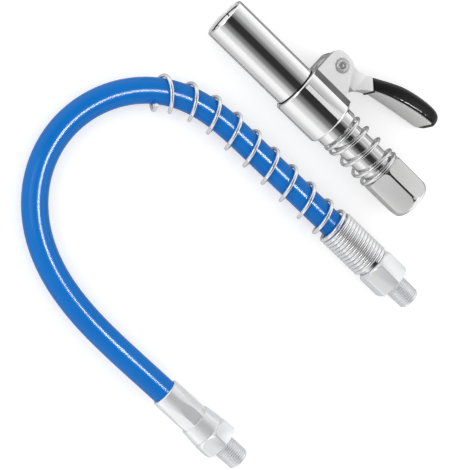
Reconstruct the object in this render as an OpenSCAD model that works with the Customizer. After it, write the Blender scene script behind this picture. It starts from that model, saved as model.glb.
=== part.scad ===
// Lever-release grease coupler with a separate whip hose and its guard spring.
// The coupler's tube axis is +X, from the hose port at the origin to the mouth.
// Both pieces lie on a table: the collar rests on it, and so do the hose and its fittings.

/* [Hex nut] */
// Length of the nut along the tube
nut_length = 19.7; // [19.2:0.1:24]
// Hexagon size across flats
nut_flats = 17; // [16:0.5:19]
// Length of the domed rear end of the hexagon
nut_dome_length = 5.5; // [2:0.5:7]
// Diameter of the flat rear face
nut_face_d = 12.8; // [11:0.2:14]
// Radial depth of the nut's rounding at the spring's end
nut_chamfer = 0.9; // [0.3:0.1:1.0]
// Length of the nut's rounding at the spring's end
nut_chamfer_length = 2.4; // [0.4:0.1:4]
// Core diameter of the 1/8 inch hose port
port_d = 8.8; // [8:0.1:9.4]
// Depth of the hose port
port_depth = 9.6; // [8:0.1:10]
// Thickness of the sealing washer between nut and stem
washer_t = 0.9; // [0.5:0.1:1.2]
// Outer diameter of the sealing washer
washer_d = 10.8; // [10:0.1:11]

/* [Stem] */
// Diameter of the polished stem
stem_d = 14; // [13:0.1:14.4]
// Diameter of the threaded shank held in the nut
shank_d = 11; // [10:0.1:12]
// Length of the shank inside the nut
shank_length = 8; // [6:0.1:8.4]
// Grease passage through the stem
passage_d = 3.2; // [2.4:0.1:4]
// Bore that holds the check ball, its spring and the seal plunger
chamber_d = 6.2; // [6:0.1:6.8]
// Distance from the toe's pocket to the rim of the passage
seat_offset = 3.05; // [2.5:0.05:4]
// Distance from the mouth to the front of the stem's head
head_depth = 21.4; // [20.8:0.1:21.8]
// Diameter of the groove that the jaws hook into
hook_groove_d = 9.8; // [9.2:0.1:10.2]
// Diameter of the flange that holds the jaws' hooks
hook_flange_d = 11.8; // [11.4:0.1:12]
// Length of that flange
hook_flange_length = 2.6; // [2:0.1:3]
// Length of the groove
hook_groove_length = 2.8; // [2.6:0.1:3.2]

/* [Main spring] */
// Length of the spring between the nut and the rear bush
spring_length = 23.7; // [20:0.1:30]
// Outer diameter of the spring
spring_d = 19.2; // [18.6:0.1:20]
// Wire diameter
spring_wire = 1.4; // [1:0.1:1.6]
// Number of turns, the closed ones at the ends included
spring_turns = 4.7; // [3.7:0.1:6.7]
// Turns that lie closed at each end
spring_closed_turns = 0.9; // [0.5:0.1:1.1]

/* [Sleeve] */
// Wall of the barrel around the bush's spigot
barrel_t = 0.9; // [0.7:0.1:1.1]
// How much wider the barrel's bore is than the stem
bore_over_stem = 1; // [0.8:0.1:1.4]
// Length of the barrel in front of the collar
nose_length = 40.8; // [38:0.2:46]
// Bore of the neck behind the closing cone
neck_d = 12.8; // [12.6:0.1:13.2]
// Length of the neck
neck_length = 5.5; // [4.5:0.1:6.5]
// Slope of the cone that closes the jaws
cone_angle = 15; // [13:0.5:16]
// Distance from the mouth to the start of that cone
cone_depth = 8.9; // [8.5:0.1:9.2]
// Bore of the mouth
mouth_d = 15.8; // [15.8:0.1:16.2]
// Rounding of the barrel's front edge
lip_round = 0.6; // [0.3:0.1:1]
// Wall of the collar
collar_t = 1.6; // [1.5:0.1:2.2]
// Length of the collar
collar_length = 21.2; // [20:0.2:24]
// Rounding of the collar's front edge
collar_front_round = 1; // [0.5:0.1:1.2]
// Rounding of the collar's rear edge
collar_rear_round = 1.3; // [0.5:0.1:1.4]
// Wall of the rear bush behind the collar
bush_t = 2; // [1.5:0.1:2.2]
// Length of the bush behind the collar
bush_length = 5; // [4:0.1:7]
// Length of the bush's spigot inside the barrel
spigot_length = 5.6; // [4:0.1:6.4]
// Wall of the bush's spigot inside the barrel
spigot_t = 1.35; // [1.1:0.05:1.4]
// Chamfer on the bush's rear edge
bush_chamfer = 0.9; // [0.3:0.1:1.2]

/* [Clevis] */
// Distance from the collar's rear end to the pivot
pivot_offset = 13.4; // [12.4:0.1:14.4]
// Height of the pivot over the tube axis
pivot_height = 18.4; // [18:0.1:19.4]
// Gap between the two ears
ear_gap = 6; // [5.8:0.1:6.6]
// Thickness of one ear
ear_t = 3.3; // [2.6:0.1:4]
// Rounding of the ears over the pivot
ear_round = 5.1; // [4.6:0.1:5.6]
// Rounding of the ears' front corner
ear_front_round = 4; // [3:0.1:4.5]
// Depth of the slot between the ears below the collar's top
slot_depth = 0.3; // [0.1:0.1:0.5]
// How far the foot of the ears lies below the collar's top
flank_drop = 0.95; // [0.4:0.05:1.2]
// Diameter of the pivot pin
pin_d = 4; // [3:0.1:4.6]
// Diameter of the pin's riveted head
pin_head_d = 6.6; // [6:0.1:7.4]
// Thickness of the pin's heads
pin_head_t = 0.8; // [0.5:0.1:1.2]
// Diameter of the hollow in the rolled head
pin_hollow_d = 3; // [2:0.1:3]

/* [Lever] */
// Thickness of the lever between the ears
lever_t = 5.6; // [5:0.1:5.7]
// Angle through which the lever is pressed
lever_swing = 16; // [10:0.5:17]
// Distance from the pivot to the centre of the toe's nose
toe_reach = 12; // [11.6:0.1:12.2]
// Radius of the toe's nose
toe_nose_r = 1.8; // [1.5:0.1:1.9]
// Radius of the lever's hub
hub_r = 5; // [4.2:0.1:5]
// Width of the grip
grip_w = 18; // [14:0.5:18]
// Width of the grip's rim beside the metal
rim_t = 1.5; // [1:0.1:2]
// How far the paddle's underside stands proud of the grip's rim
rim_lift = 0.5; // [0:0.1:0.8]
// Thickness of the metal paddle under the grip
paddle_t = 2.8; // [2:0.1:3.2]

/* [Jaws] */
// Angle by which a jaw opens
jaw_open = 1.1; // [0.6:0.1:1.2]
// Depth of the jaws' front face inside the mouth
jaw_recess = 1.3; // [0.9:0.1:2]
// Diameter over the jaws' heads
jaw_d = 14.7; // [14.3:0.1:14.8]
// Length of the jaw's foot, which fills the barrel's bore
jaw_foot_length = 4.5; // [4:0.1:5]
// Length over which the foot narrows to the arm
jaw_taper_length = 3.8; // [3:0.1:4]
// Length of the hook in the stem's groove
jaw_hook_length = 2; // [1.6:0.1:2.2]
// Diameter over the jaws' arms
jaw_arm_d = 11.6; // [11.2:0.1:11.7]
// Bore of the gripping lip
jaw_lip_d = 6; // [5.8:0.1:6.2]
// Distance from the jaws' front face to the lip
jaw_lip_depth = 3; // [2.6:0.1:3.2]
// Length of the lip
jaw_lip_length = 1.3; // [1:0.1:1.5]
// Bore of the chamber that holds the fitting's head and the seal
jaw_chamber_d = 7.2; // [7:0.1:7.6]
// Width of the slits between the jaws
slit_w = 0.5; // [0.3:0.1:1]
// Angle from the lever to the first slit
slit_phase = 7.5; // [0:0.5:30]
// Wire diameter of the ring that spreads the jaws
jaw_ring_wire = 0.9; // [0.6:0.1:1]

/* [Seal and check valve] */
// Diameter of the check ball
ball_d = 5.1; // [4.4:0.1:5.4]
// Outer diameter of the rubber seal
seal_d = 6.6; // [5.8:0.1:6.8]
// Length of the rubber seal
seal_length = 2.7; // [2:0.1:3.2]
// Distance from the mouth to the plunger's collar
plunger_depth = 13.8; // [13.6:0.1:14.4]
// Thickness of the plunger's collar
plunger_collar_t = 2; // [1.6:0.1:2.2]
// Diameter of the plunger's collar
plunger_collar_d = 8.4; // [8:0.1:8.8]
// Length of the plunger's shaft
plunger_length = 14.6; // [12:0.2:15.6]
// Grease hole through the plunger
plunger_hole_d = 2.4; // [1.6:0.1:2.6]
// Outer diameter of the seal spring
seal_spring_d = 5.6; // [5.2:0.1:5.8]
// Wire diameter of the seal spring
seal_spring_wire = 0.6; // [0.4:0.1:0.7]
// Section of the plunger's O-ring
oring_section = 0.76; // [0.6:0.02:0.8]

/* [Hose] */
// Outer diameter of the hose
hose_d = 10.8; // [9.6:0.1:11]
// Bore of the hose
hose_bore_d = 6.4; // [6:0.1:7]
// Outer diameter of the straight ferrule under the spring
ferrule_a_d = 12.6; // [12:0.1:12.8]
// Length of the straight ferrule
ferrule_a_length = 22; // [18:0.5:22]
// Outer diameter of the flared ferrule at the hose
ferrule_b_d = 12.6; // [12:0.1:13.4]
// Outer diameter of the flared ferrule at the hexagon
ferrule_b_end_d = 15.4; // [14:0.1:16]
// Length of the flared ferrule
ferrule_b_length = 24; // [20:0.5:24]
// Length of the crimped flats of the flared ferrule
crimp_length = 17; // [12:0.5:18]
// Depth of the crimped flats
crimp_depth = 0.28; // [0.1:0.02:0.4]
// Hexagon of both hose fittings across flats
fitting_flats = 15; // [14:0.5:15]
// Length of the hexagon at the spring's end
hex_a_length = 12; // [8:0.2:14]
// Length of the hexagon at the flared end
hex_b_length = 7.6; // [6:0.2:10]
// Outer diameter of the fittings' 1/8 inch threads
thread_d = 9.7; // [9.2:0.1:10.2]
// Length of the fittings' threaded ends
thread_length = 10.8; // [8:0.2:12]
// Grease bore through the fittings
fitting_bore_d = 3.6; // [2.4:0.1:4.4]
// Outer diameter of the fittings' tails inside the hose
tail_d = 6; // [5:0.1:6]
// Wire diameter of the guard spring
guard_wire = 1.6; // [1.2:0.1:1.6]
// Diameter over the guard spring's open turns
guard_d = 15.4; // [15:0.1:15.6]
// Closed turns of the guard spring over the ferrule
guard_closed_turns = 12.5; // [10:0.5:12.5]
// Open turns of the guard spring along the hose
guard_open_turns = 10; // [6:0.5:10.5]
// Pitch of the open turns
guard_pitch = 10.4; // [8:0.1:10.4]

/* [Hidden] */
$fn = 96;

// Running fit of the sliding pieces, and seat of the pieces that stay together
running = 0.06;
seat = 0.05;
// Play between the lever's toe and the front of its pocket
toe_play = 0.02;
// Free gap between pieces that pass each other
free_gap = 0.3;
// Depth of the cuts that pass right through
right_through = 40;
// Angle that turns the coupler until the paddle's edge rests on the table
roll = 3.7;
// Angle from the lever to the first corner of the nut
nut_corner = 39.4;

// Stations along the tube
bush_x = nut_length + spring_length;
collar_x = bush_x + bush_length;
collar_front_x = collar_x + collar_length;
mouth_x = collar_front_x + nose_length;
pivot_x = collar_x + pivot_offset;
head_front_x = mouth_x - head_depth;
hook_groove_x = head_front_x - hook_flange_length - hook_groove_length;
toe_x = pivot_x - toe_reach * sin(lever_swing / 2);
pocket_front_x = toe_x + toe_nose_r + toe_play;
pocket_rear_x = toe_x - toe_nose_r - 0.5;
pocket_floor = pivot_height - toe_reach - toe_nose_r - 0.4;
jaw_front_x = mouth_x - jaw_recess;
cone_x = mouth_x - cone_depth;
cone_rise = (mouth_d - neck_d) / 2;
cone_end_x = cone_x + cone_rise / tan(cone_angle);
seat_x = pocket_front_x + seat_offset;
seat_rise = (chamber_d - passage_d) / 2;
ball_x = seat_x - passage_d / 2 + (ball_d / 2 + 0.02) * sqrt(2);
plunger_collar_x = mouth_x - plunger_depth;
seal_x = plunger_collar_x + plunger_collar_t;
plunger_rear_x = plunger_collar_x - plunger_length;
ring_x = head_front_x + 3;

// Diameters that follow from the stem's and from a fit
bush_d = stem_d + 2 * bush_t;
spigot_d = stem_d + 2 * spigot_t;
barrel_bore_d = stem_d + bore_over_stem;
barrel_d = spigot_d + 2 * (seat + barrel_t);
collar_d = barrel_d + 2 * (seat + collar_t);
head_d = barrel_bore_d - 2 * running;
flank_height = collar_d / 2 - flank_drop;
jaw_bore_r = plunger_collar_d / 2 + 0.4;
ring_groove_r = jaw_bore_r + 0.6;
seal_post_r = 1.9;

// Lever stations behind the clevis: place along the tube, share of the grip's width, underside, top
lever_stations = [
    [50.5, 0.31, 15.6, 24.4], [48.5, 0.4, 18.0, 25.7], [45.0, 0.54, 20.5, 27.3], [41.0, 0.7, 22.1, 29.1],
    [36.5, 0.84, 23.5, 30.9], [31.5, 0.94, 24.7, 32.1], [26.5, 0.99, 25.8, 32.9], [21.5, 1.0, 26.7, 33.2],
    [18.5, 0.97, 27.1, 32.8], [16.8, 0.88, 27.4, 31.8], [15.7, 0.68, 27.6, 30.6], [15.2, 0.45, 27.7, 29.4]];
grip_first_station = 0.8;
paddle_first_station = 1;
paddle_end_station = 8.6;
// Slanted joint between the lever's neck and the grip: a point on it, and its lean
grip_edge = [44.6, 20.7];
grip_lean = 0.8;

// Centre line of the hose on the table, from the spring's end to the flared end
hose_route = [
    [-4, 30, -2.4], [6.7, 30, -2.4], [17.4, 30, -2.4], [28.1, 30, -2.4], [38.8, 30, -2.5],
    [49.5, 30, -2.6], [60.1, 30, -2.7], [70.8, 30, -2.8], [81.5, 30.2, -2.9], [92.1, 31.5, -3.1],
    [102.3, 34.8, -3.1], [111.4, 40.4, -3.3], [118.9, 48, -3.7], [124.4, 57.1, -4.2],
    [127.7, 67.2, -4.7], [128.6, 77.8, -5.1], [126.9, 88.4, -5.3], [122.8, 98.2, -5.4],
    [116.5, 106.8, -5.4], [108.5, 113.8, -5.4], [99.2, 119.1, -5.2], [89.2, 122.8, -4.8],
    [78.7, 125.1, -4.1], [68.1, 126.4, -3.4], [57.5, 126.9, -2.8], [46.8, 127, -2.5],
    [36.1, 127, -2.4], [25.4, 127, -2.4], [14.7, 127, -2.4], [4, 127, -2.4]];
hose_sides = 12;
// How far the open turns lean to the inside of the bend
guard_lean = 0.45;

// Points on an arc about a centre, from one angle to another
function arc(cx, cy, r, a0, a1, n = 6) =
    [for (i = [0:n]) let (a = a0 + (a1 - a0) * i / n) [cx + r * cos(a), cy + r * sin(a)]];

// A smooth curve through four neighbours, at t from 0 to 1 between the middle two
function through(a, b, c, d, t) =
    0.5 * (2 * b + (c - a) * t + (2 * a - 5 * b + 4 * c - d) * t * t + (3 * b - a - 3 * c + d) * t * t * t);

// The lever at a fractional station: place along the tube, half width, underside and top
function station(u) =
    let (last = len(lever_stations) - 1, i = min(floor(u), last - 1), p = lever_stations,
         s = through(p[max(i - 1, 0)], p[i], p[i + 1], p[min(i + 2, last)], u - i))
    [s[0], s[1] * grip_w / 2, s[2], s[3]];

// Uniform cubic B-spline weights on four neighbours
function blended(a, b, c, d, t) =
    (pow(1 - t, 3) * a + (3 * t * t * t - 6 * t * t + 4) * b
     + (-3 * t * t * t + 3 * t * t + 3 * t + 1) * c + t * t * t * d) / 6;

// A point of the hose's centre line at a fractional index of its route
function hose_at(u) =
    let (p = hose_route, last = len(p) - 1, i = max(0, min(floor(u), last - 1)),
         before = i == 0 ? 2 * p[0] - p[1] : p[i - 1],
         after = i == last - 1 ? 2 * p[last] - p[last - 1] : p[i + 2])
    blended(before, p[i], p[i + 1], after, u - i);

function unit(v) = v / norm(v);

// Travel along the hose: tangent, side and up at a fractional index
function hose_frame(u) =
    let (t = unit(hose_at(u + 0.05) - hose_at(u - 0.05)), s = unit(cross([0, 0, 1], t)))
    [t, s, cross(t, s)];

// A ring of points about a centre, in the plane of two unit vectors
function ring(centre, r, side, up, n) =
    [for (i = [0:n - 1]) centre + r * (cos(360 * i / n) * side + sin(360 * i / n) * up)];

// Length of the route up to one of its points
function reach(i) = i == 0 ? 0 : reach(i - 1) + norm(hose_route[i] - hose_route[i - 1]);
hose_reach = [for (i = [0:len(hose_route) - 1]) reach(i)];

// Index on the route at a distance from its start
function hose_index(s, i = 0) =
    i >= len(hose_reach) - 2 || hose_reach[i + 1] > s
        ? i + (s - hose_reach[i]) / (hose_reach[i + 1] - hose_reach[i])
        : hose_index(s, i + 1);

// Closed skin over a list of rings with equal counts of points
module skin(rings) {
    n = len(rings[0]);
    m = len(rings);
    sides = [for (i = [0:m - 2], j = [0:n - 1])
        let (a = i * n + j, b = i * n + (j + 1) % n, c = b + n, d = a + n) each [[a, c, b], [a, d, c]]];
    caps = [[for (j = [0:n - 1]) j], [for (j = [0:n - 1]) m * n - 1 - j]];
    polyhedron(points = [for (r = rings) each r], faces = concat(sides, caps), convexity = 10);
}

// Round wire along a list of centres, each with the direction that points out of the coil
module wire(path, outward, r, n) {
    last = len(path) - 1;
    skin([for (i = [0:last])
        let (t = unit(path[min(i + 1, last)] - path[max(i - 1, 0)]),
             s = unit(outward[i] - (outward[i] * t) * t))
        ring(path[i], r, s, cross(t, s), n)]);
}

// Advance of a coil after a number of turns, with closed turns at both ends
function coil_advance(turn, turns, closed, tight, run) =
    let (open = (run - 2 * tight * closed) / (turns - 2 * closed))
    turn < closed ? tight * turn
    : turn > turns - closed ? run - tight * (turns - turn)
    : tight * closed + open * (turn - closed);

// Spring about the tube axis; hand is 1 for right-handed and -1 for left-handed
module coil(start_x, run, outer_d, wire_d, turns, closed, hand, steps, sides) {
    r = (outer_d - wire_d) / 2;
    count = ceil(steps * turns);
    angles = [for (i = [0:count]) hand * 360 * turns * i / count];
    wire([for (i = [0:count])
            [start_x + coil_advance(turns * i / count, turns, closed, wire_d + 0.06, run),
             -r * cos(angles[i]), -r * sin(angles[i])]],
         [for (a = angles) [0, -cos(a), -sin(a)]], wire_d / 2, sides);
}

// Solid of revolution about the tube axis, from points of radius and place along X
module turned(profile) {
    rotate([0, 90, 0]) rotate_extrude() polygon(profile);
}

// Cylinder along the tube axis
module rod(d, x0, x1) {
    translate([x0, 0, 0]) rotate([0, 90, 0]) cylinder(d = d, h = x1 - x0);
}

// Hexagonal bar along the tube axis, its first corner turned from the lever
module hex_bar(flats, x0, x1, corner) {
    translate([x0, 0, 0]) rotate([0, 90, 0]) rotate(-90 - corner)
        cylinder(d = flats / cos(30), h = x1 - x0, $fn = 6);
}

// The coupler's pieces are drawn with the lever along -Y and turned to lie on the table
module laid() {
    rotate([roll, 0, 0]) children();
}

// Plate across the lever's plane, drawn as place along the tube and height over it
module plate(t) {
    translate([0, 0, -t / 2]) linear_extrude(t) mirror([0, 1]) children();
}

// Two circles and the flanks between them
module strap(a, ra, b, rb) {
    d = norm(b - a);
    dir = atan2(b[1] - a[1], b[0] - a[0]);
    lean = acos((ra - rb) / d);
    translate(a) circle(ra);
    translate(b) circle(rb);
    polygon([for (s = [1, -1]) a + ra * [cos(dir + s * lean), sin(dir + s * lean)],
             for (s = [-1, 1]) b + rb * [cos(dir + s * lean), sin(dir + s * lean)]]);
}

// Slot through the top of collar and barrel, in which the toe swings
module toe_window() {
    rear = toe_x - toe_nose_r - 0.6;
    front = 2 * pivot_x - rear;
    top = pivot_height - hub_r - 0.6;
    low = barrel_bore_d / 4;
    translate([rear, -top, -ear_gap / 2]) cube([front - rear, top - low, ear_gap]);
}

module stem() {
    shank_x = nut_length - shank_length - 0.1;
    color("silver") laid() difference() {
        turned(concat(
            [[passage_d / 2, shank_x], [shank_d / 2 - 0.6, shank_x], [shank_d / 2, shank_x + 0.6],
             [shank_d / 2, nut_length + 0.05], [stem_d / 2 - 0.3, nut_length + 0.05],
             [stem_d / 2, nut_length + 0.35], [stem_d / 2, pocket_rear_x - 2],
             [head_d / 2, pocket_rear_x - 2 + (head_d - stem_d) / 2], [head_d / 2, hook_groove_x - 0.3],
             [head_d / 2 - 0.3, hook_groove_x], [hook_groove_d / 2, hook_groove_x],
             [hook_groove_d / 2, head_front_x - hook_flange_length],
             [hook_flange_d / 2, head_front_x - hook_flange_length],
             [hook_flange_d / 2, head_front_x - 0.3], [hook_flange_d / 2 - 0.3, head_front_x],
             [chamber_d / 2, head_front_x], [chamber_d / 2, seat_x + seat_rise], [passage_d / 2, seat_x]]));
        translate([pocket_rear_x, -head_d, -ear_gap / 2 - 0.1])
            cube([pocket_front_x - pocket_rear_x, head_d - pocket_floor, ear_gap + 0.2]);
    }
}

module hex_nut() {
    corner_r = nut_flats / cos(30) / 2 - 0.25;
    socket_x = nut_length - shank_length - washer_t - 0.2;
    color("gainsboro") laid() difference() {
        intersection() {
            hex_bar(nut_flats, 0, nut_length, nut_corner);
            turned(concat([[0, 0]],
                [for (i = [0:12]) let (a = 90 * i / 12)
                    [nut_face_d / 2 + (corner_r - nut_face_d / 2) * sin(a), nut_dome_length * (1 - cos(a))]],
                [for (i = [0:8]) let (a = 90 * i / 8)
                    [corner_r - nut_chamfer * (1 - cos(a)), nut_length - nut_chamfer_length * (1 - sin(a))]],
                [[0, nut_length]]));
        }
        rod(port_d, -1, port_depth);
        rod(passage_d + 1.4, port_depth - 1, socket_x + 1);
        rod(shank_d + 2 * seat, socket_x, nut_length + 1);
    }
}

module nut_washer() {
    washer_x = nut_length - shank_length - washer_t - 0.15;
    color("peru") laid() turned([[passage_d / 2 + 0.7, washer_x], [washer_d / 2, washer_x],
        [washer_d / 2, washer_x + washer_t], [passage_d / 2 + 0.7, washer_x + washer_t]]);
}

module jaw_ring() {
    color("dimgray") laid() translate([ring_x, 0, 0]) rotate([0, 90, 0]) rotate(20)
        rotate_extrude(angle = 325) translate([ring_groove_r - seat - jaw_ring_wire / 2, 0])
            circle(d = jaw_ring_wire, $fn = 24);
}

module barrel() {
    bore_end_x = cone_x - neck_length;
    neck_ramp = 1.5;
    shelf_x = collar_x + spigot_length + 0.5;
    color("lightgray") laid() difference() {
        turned(concat(
            [[spigot_d / 2 + seat, collar_x], [barrel_d / 2, collar_x]],
            arc(barrel_d / 2 - lip_round, mouth_x - lip_round, lip_round, 0, 90),
            [[mouth_d / 2 + 0.4, mouth_x], [mouth_d / 2, mouth_x - 0.4], [mouth_d / 2, cone_end_x],
             [neck_d / 2, cone_x], [neck_d / 2, bore_end_x], [barrel_bore_d / 2, bore_end_x - neck_ramp],
             [barrel_bore_d / 2, shelf_x], [spigot_d / 2 + seat, shelf_x]]));
        toe_window();
    }
}

// Outline of one ear, as place along the tube and height over it
module ear_outline() {
    front_corner = [pivot_x + 2.5, pivot_height + ear_round - ear_front_round];
    foot = flank_height - 4;
    strap([pivot_x, pivot_height], ear_round, front_corner, ear_front_round);
    polygon([[collar_front_x - 0.8, foot], [front_corner[0] + ear_front_round, front_corner[1]],
             front_corner, [pivot_x, pivot_height],
             [pivot_x, pivot_height] + ear_round * [cos(152), sin(152)], [collar_x + 1.2, foot]]);
}

module collar() {
    flank = ear_gap / 2 + ear_t;
    bore = barrel_d / 2 + seat;
    tangent = 36;
    shoulder = collar_d / 2 * [-sin(tangent), cos(tangent)];
    slot_floor = collar_d / 2 - slot_depth;
    color("silver") laid() difference() {
        union() {
            turned(concat(
                [[bore, collar_x]],
                arc(collar_d / 2 - collar_rear_round, collar_x + collar_rear_round,
                    collar_rear_round, -90, 0),
                arc(collar_d / 2 - collar_front_round, collar_front_x - collar_front_round,
                    collar_front_round, 0, 90),
                [[bore, collar_front_x]]));
            translate([collar_x + 1, 0, 0]) rotate([90, 0, 90]) linear_extrude(collar_length - 1.6)
                polygon([shoulder, [-flank_height, flank], [-flank_height, -flank],
                         [shoulder[0], -shoulder[1]]]);
            plate(2 * flank) ear_outline();
        }
        translate([collar_x - 1, -2 * pivot_height, -ear_gap / 2])
            cube([collar_length + 2, 2 * pivot_height - slot_floor, ear_gap]);
        rod(2 * bore, collar_x - 1, collar_front_x + 1);
        toe_window();
        translate([pivot_x, -pivot_height, -right_through / 2])
            cylinder(d = pin_d + 2 * seat, h = right_through);
    }
}

module rear_bush() {
    color("silver") laid() turned([
        [stem_d / 2 + running, bush_x + 0.4], [stem_d / 2 + running + 0.4, bush_x],
        [bush_d / 2 - bush_chamfer, bush_x], [bush_d / 2, bush_x + bush_chamfer], [bush_d / 2, collar_x],
        [spigot_d / 2, collar_x], [spigot_d / 2, collar_x + spigot_length],
        [stem_d / 2 + running, collar_x + spigot_length]]);
}

module pivot_pin() {
    half = ear_gap / 2 + ear_t;
    rim = pin_head_t / 2;
    color("whitesmoke") laid() translate([pivot_x, -pivot_height, 0]) rotate_extrude() polygon(concat(
        [[0, -half - pin_head_t], [pin_head_d / 2 - rim, -half - pin_head_t]],
        arc(pin_head_d / 2 - rim, -half - pin_head_t + rim, rim, -90, 0),
        [[pin_head_d / 2, -half], [pin_d / 2, -half], [pin_d / 2, half], [pin_head_d / 2, half]],
        arc(pin_head_d / 2 - rim, half + pin_head_t - rim, rim, 0, 90),
        [[pin_hollow_d / 2 + rim, half + pin_head_t], [pin_hollow_d / 2, half + pin_head_t - rim],
         [pin_hollow_d / 2, half - 0.8], [pin_hollow_d / 4, half - 1.5], [0, half - 1.7]]));
}

module main_spring() {
    color("gray") laid() coil(nut_length + spring_wire / 2 + 0.05, spring_length - spring_wire - 0.1,
        spring_d, spring_wire, spring_turns, spring_closed_turns, -1, 20, 8);
}

// Side view of the lever between two stations, from its underside up to a thickness or to its top
function lever_side(u0, u1, t, drop = 0, n = 12) = concat(
    [for (i = [0:n]) let (s = station(u0 + (u1 - u0) * i / n)) [s[0], s[2] - drop]],
    [for (i = [n:-1:0]) let (s = station(u0 + (u1 - u0) * i / n)) [s[0], t > 0 ? s[2] + t : s[3] - 0.3]]);

// Plan of the lever between two stations, narrower by an inset
function lever_plan(u0, u1, inset, n = 16) = concat(
    [for (i = [0:n]) let (s = station(u0 + (u1 - u0) * i / n)) [s[0], s[1] - inset]],
    [for (i = [n:-1:0]) let (s = station(u0 + (u1 - u0) * i / n)) [s[0], inset - s[1]]]);

// All that lies in front of the slanted joint between neck and grip
module ahead_of_grip(gap) {
    low = grip_edge[0] - grip_lean * grip_edge[1] + gap;
    high = low + grip_lean * 2 * pivot_height;
    plate(right_through)
        polygon([[low, 0], [high, 2 * pivot_height], [collar_front_x, 2 * pivot_height], [collar_front_x, 0]]);
}

module lever() {
    pivot = [pivot_x, pivot_height];
    toe_angle = -90 - lever_swing / 2;
    toe = pivot + toe_reach * [cos(toe_angle), sin(toe_angle)];
    neck = station(0);
    color("lightgray") laid() difference() {
        union() {
            plate(lever_t) {
                strap(pivot, hub_r - 1.8, toe, toe_nose_r - 0.5);
                translate(toe) circle(toe_nose_r);
                translate(pivot) circle(hub_r);
                polygon([[neck[0], neck[2]], pivot + hub_r * [cos(214), sin(214)], pivot,
                         pivot + hub_r * [cos(96), sin(96)], [54.3, 23.1], [neck[0], neck[3] - 0.3]]);
            }
            intersection() {
                plate(right_through) polygon(lever_side(0, 4, 0));
                rotate([90, 0, 0]) linear_extrude(2 * pivot_height) polygon(lever_plan(0, 4, 0));
                ahead_of_grip(seat);
            }
            intersection() {
                plate(right_through)
                    polygon(lever_side(paddle_first_station, paddle_end_station, paddle_t));
                rotate([90, 0, 0]) linear_extrude(2 * pivot_height)
                    polygon(lever_plan(paddle_first_station, paddle_end_station, rim_t + seat));
            }
        }
        translate([pivot_x, -pivot_height, -right_through / 2])
            cylinder(d = pin_d + 2 * running, h = right_through);
    }
}

// Section of the grip at a lever station: a block with rounded shoulders and a crown
function grip_ring(u) =
    let (s = station(u), w = s[1], low = s[2] + rim_lift, high = s[3], r = min(3, 0.45 * (high - low), 0.7 * w),
         outline = concat(
             [[w - 0.5, low], [w, low + 0.5]], arc(w - r, high - r, r, 0, 80, 4), [[0, high + 0.15]],
             arc(r - w, high - r, r, 100, 180, 4), [[-w, low + 0.5], [0.5 - w, low]]))
    [for (q = outline) [s[0], -q[1], q[0]]];

module lever_grip() {
    tip = len(lever_stations) - 1;
    color("dimgray") laid() difference() {
        skin([for (i = [20:-1:0]) grip_ring(grip_first_station + (tip - grip_first_station) * i / 20)]);
        ahead_of_grip(0);
        intersection() {
            plate(right_through)
                polygon(lever_side(grip_first_station, paddle_end_station + 0.1, paddle_t + seat, 3));
            rotate([90, 0, 0]) linear_extrude(2 * pivot_height)
                polygon(lever_plan(grip_first_station, paddle_end_station + 0.1, rim_t));
        }
    }
}

// One of six equal jaws: a hook in the stem's groove, an arm, and a head with the gripping lip
module jaw(i) {
    hook = hook_groove_d / 2 + 0.2;
    over_flange = hook_flange_d / 2 + 0.2;
    shoulder = barrel_bore_d / 2 - free_gap;
    arm = jaw_arm_d / 2;
    head = jaw_d / 2;
    cone_r = neck_d / 2 - 0.12;
    ramp_x = cone_x - (cone_r - arm) / tan(cone_angle);
    ramp_end_x = cone_x + (head - cone_r) / tan(cone_angle);
    hook_x = hook_groove_x + 0.4;
    hook_end_x = hook_x + jaw_hook_length;
    foot_end_x = hook_x + jaw_foot_length;
    arm_x = foot_end_x + jaw_taper_length;
    lip_x = jaw_front_x - jaw_lip_depth;
    chamber_x = lip_x - jaw_lip_length;
    first = slit_phase + 60 * (i - 1);
    color("gainsboro") laid() rotate([0, 90, 0]) rotate(-90 - first) difference() {
        rotate(-60) rotate_extrude(angle = 60) polygon([
            [hook, hook_x], [shoulder, hook_x], [shoulder, foot_end_x], [arm, arm_x], [arm, ramp_x],
            [head, ramp_end_x], [head, jaw_front_x - 0.6], [head - 0.5, jaw_front_x],
            [head - 1, jaw_front_x], [jaw_lip_d / 2 + 0.75, lip_x + 0.7], [jaw_lip_d / 2, lip_x],
            [jaw_lip_d / 2, chamber_x], [jaw_chamber_d / 2, chamber_x - 0.6],
            [jaw_chamber_d / 2, seal_x + free_gap], [jaw_bore_r, seal_x + free_gap],
            [jaw_bore_r, ring_x + 0.7], [ring_groove_r, ring_x + 0.7], [ring_groove_r, ring_x - 0.7],
            [jaw_bore_r, ring_x - 0.7], [jaw_bore_r, head_front_x + 1.8], [over_flange, head_front_x + 0.5],
            [over_flange, hook_end_x], [hook, hook_end_x]]);
        for (a = [0, -60]) rotate(a) translate([0, -slit_w / 2, 0]) cube([head + 1, slit_w, mouth_x]);
    }
}

module seal_cup() {
    color("saddlebrown") laid() turned([
        [seal_post_r + seat, seal_x + seat], [seal_d / 2, seal_x + seat],
        [seal_d / 2, seal_x + seal_length - 0.3],
        [seal_d / 2 - 0.3, seal_x + seal_length], [seal_d / 2 - 0.8, seal_x + seal_length],
        [plunger_hole_d / 2, seal_x + seal_length - 0.6], [plunger_hole_d / 2, seal_x + 2.05],
        [seal_post_r + seat, seal_x + 2.05]]);
}

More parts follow.
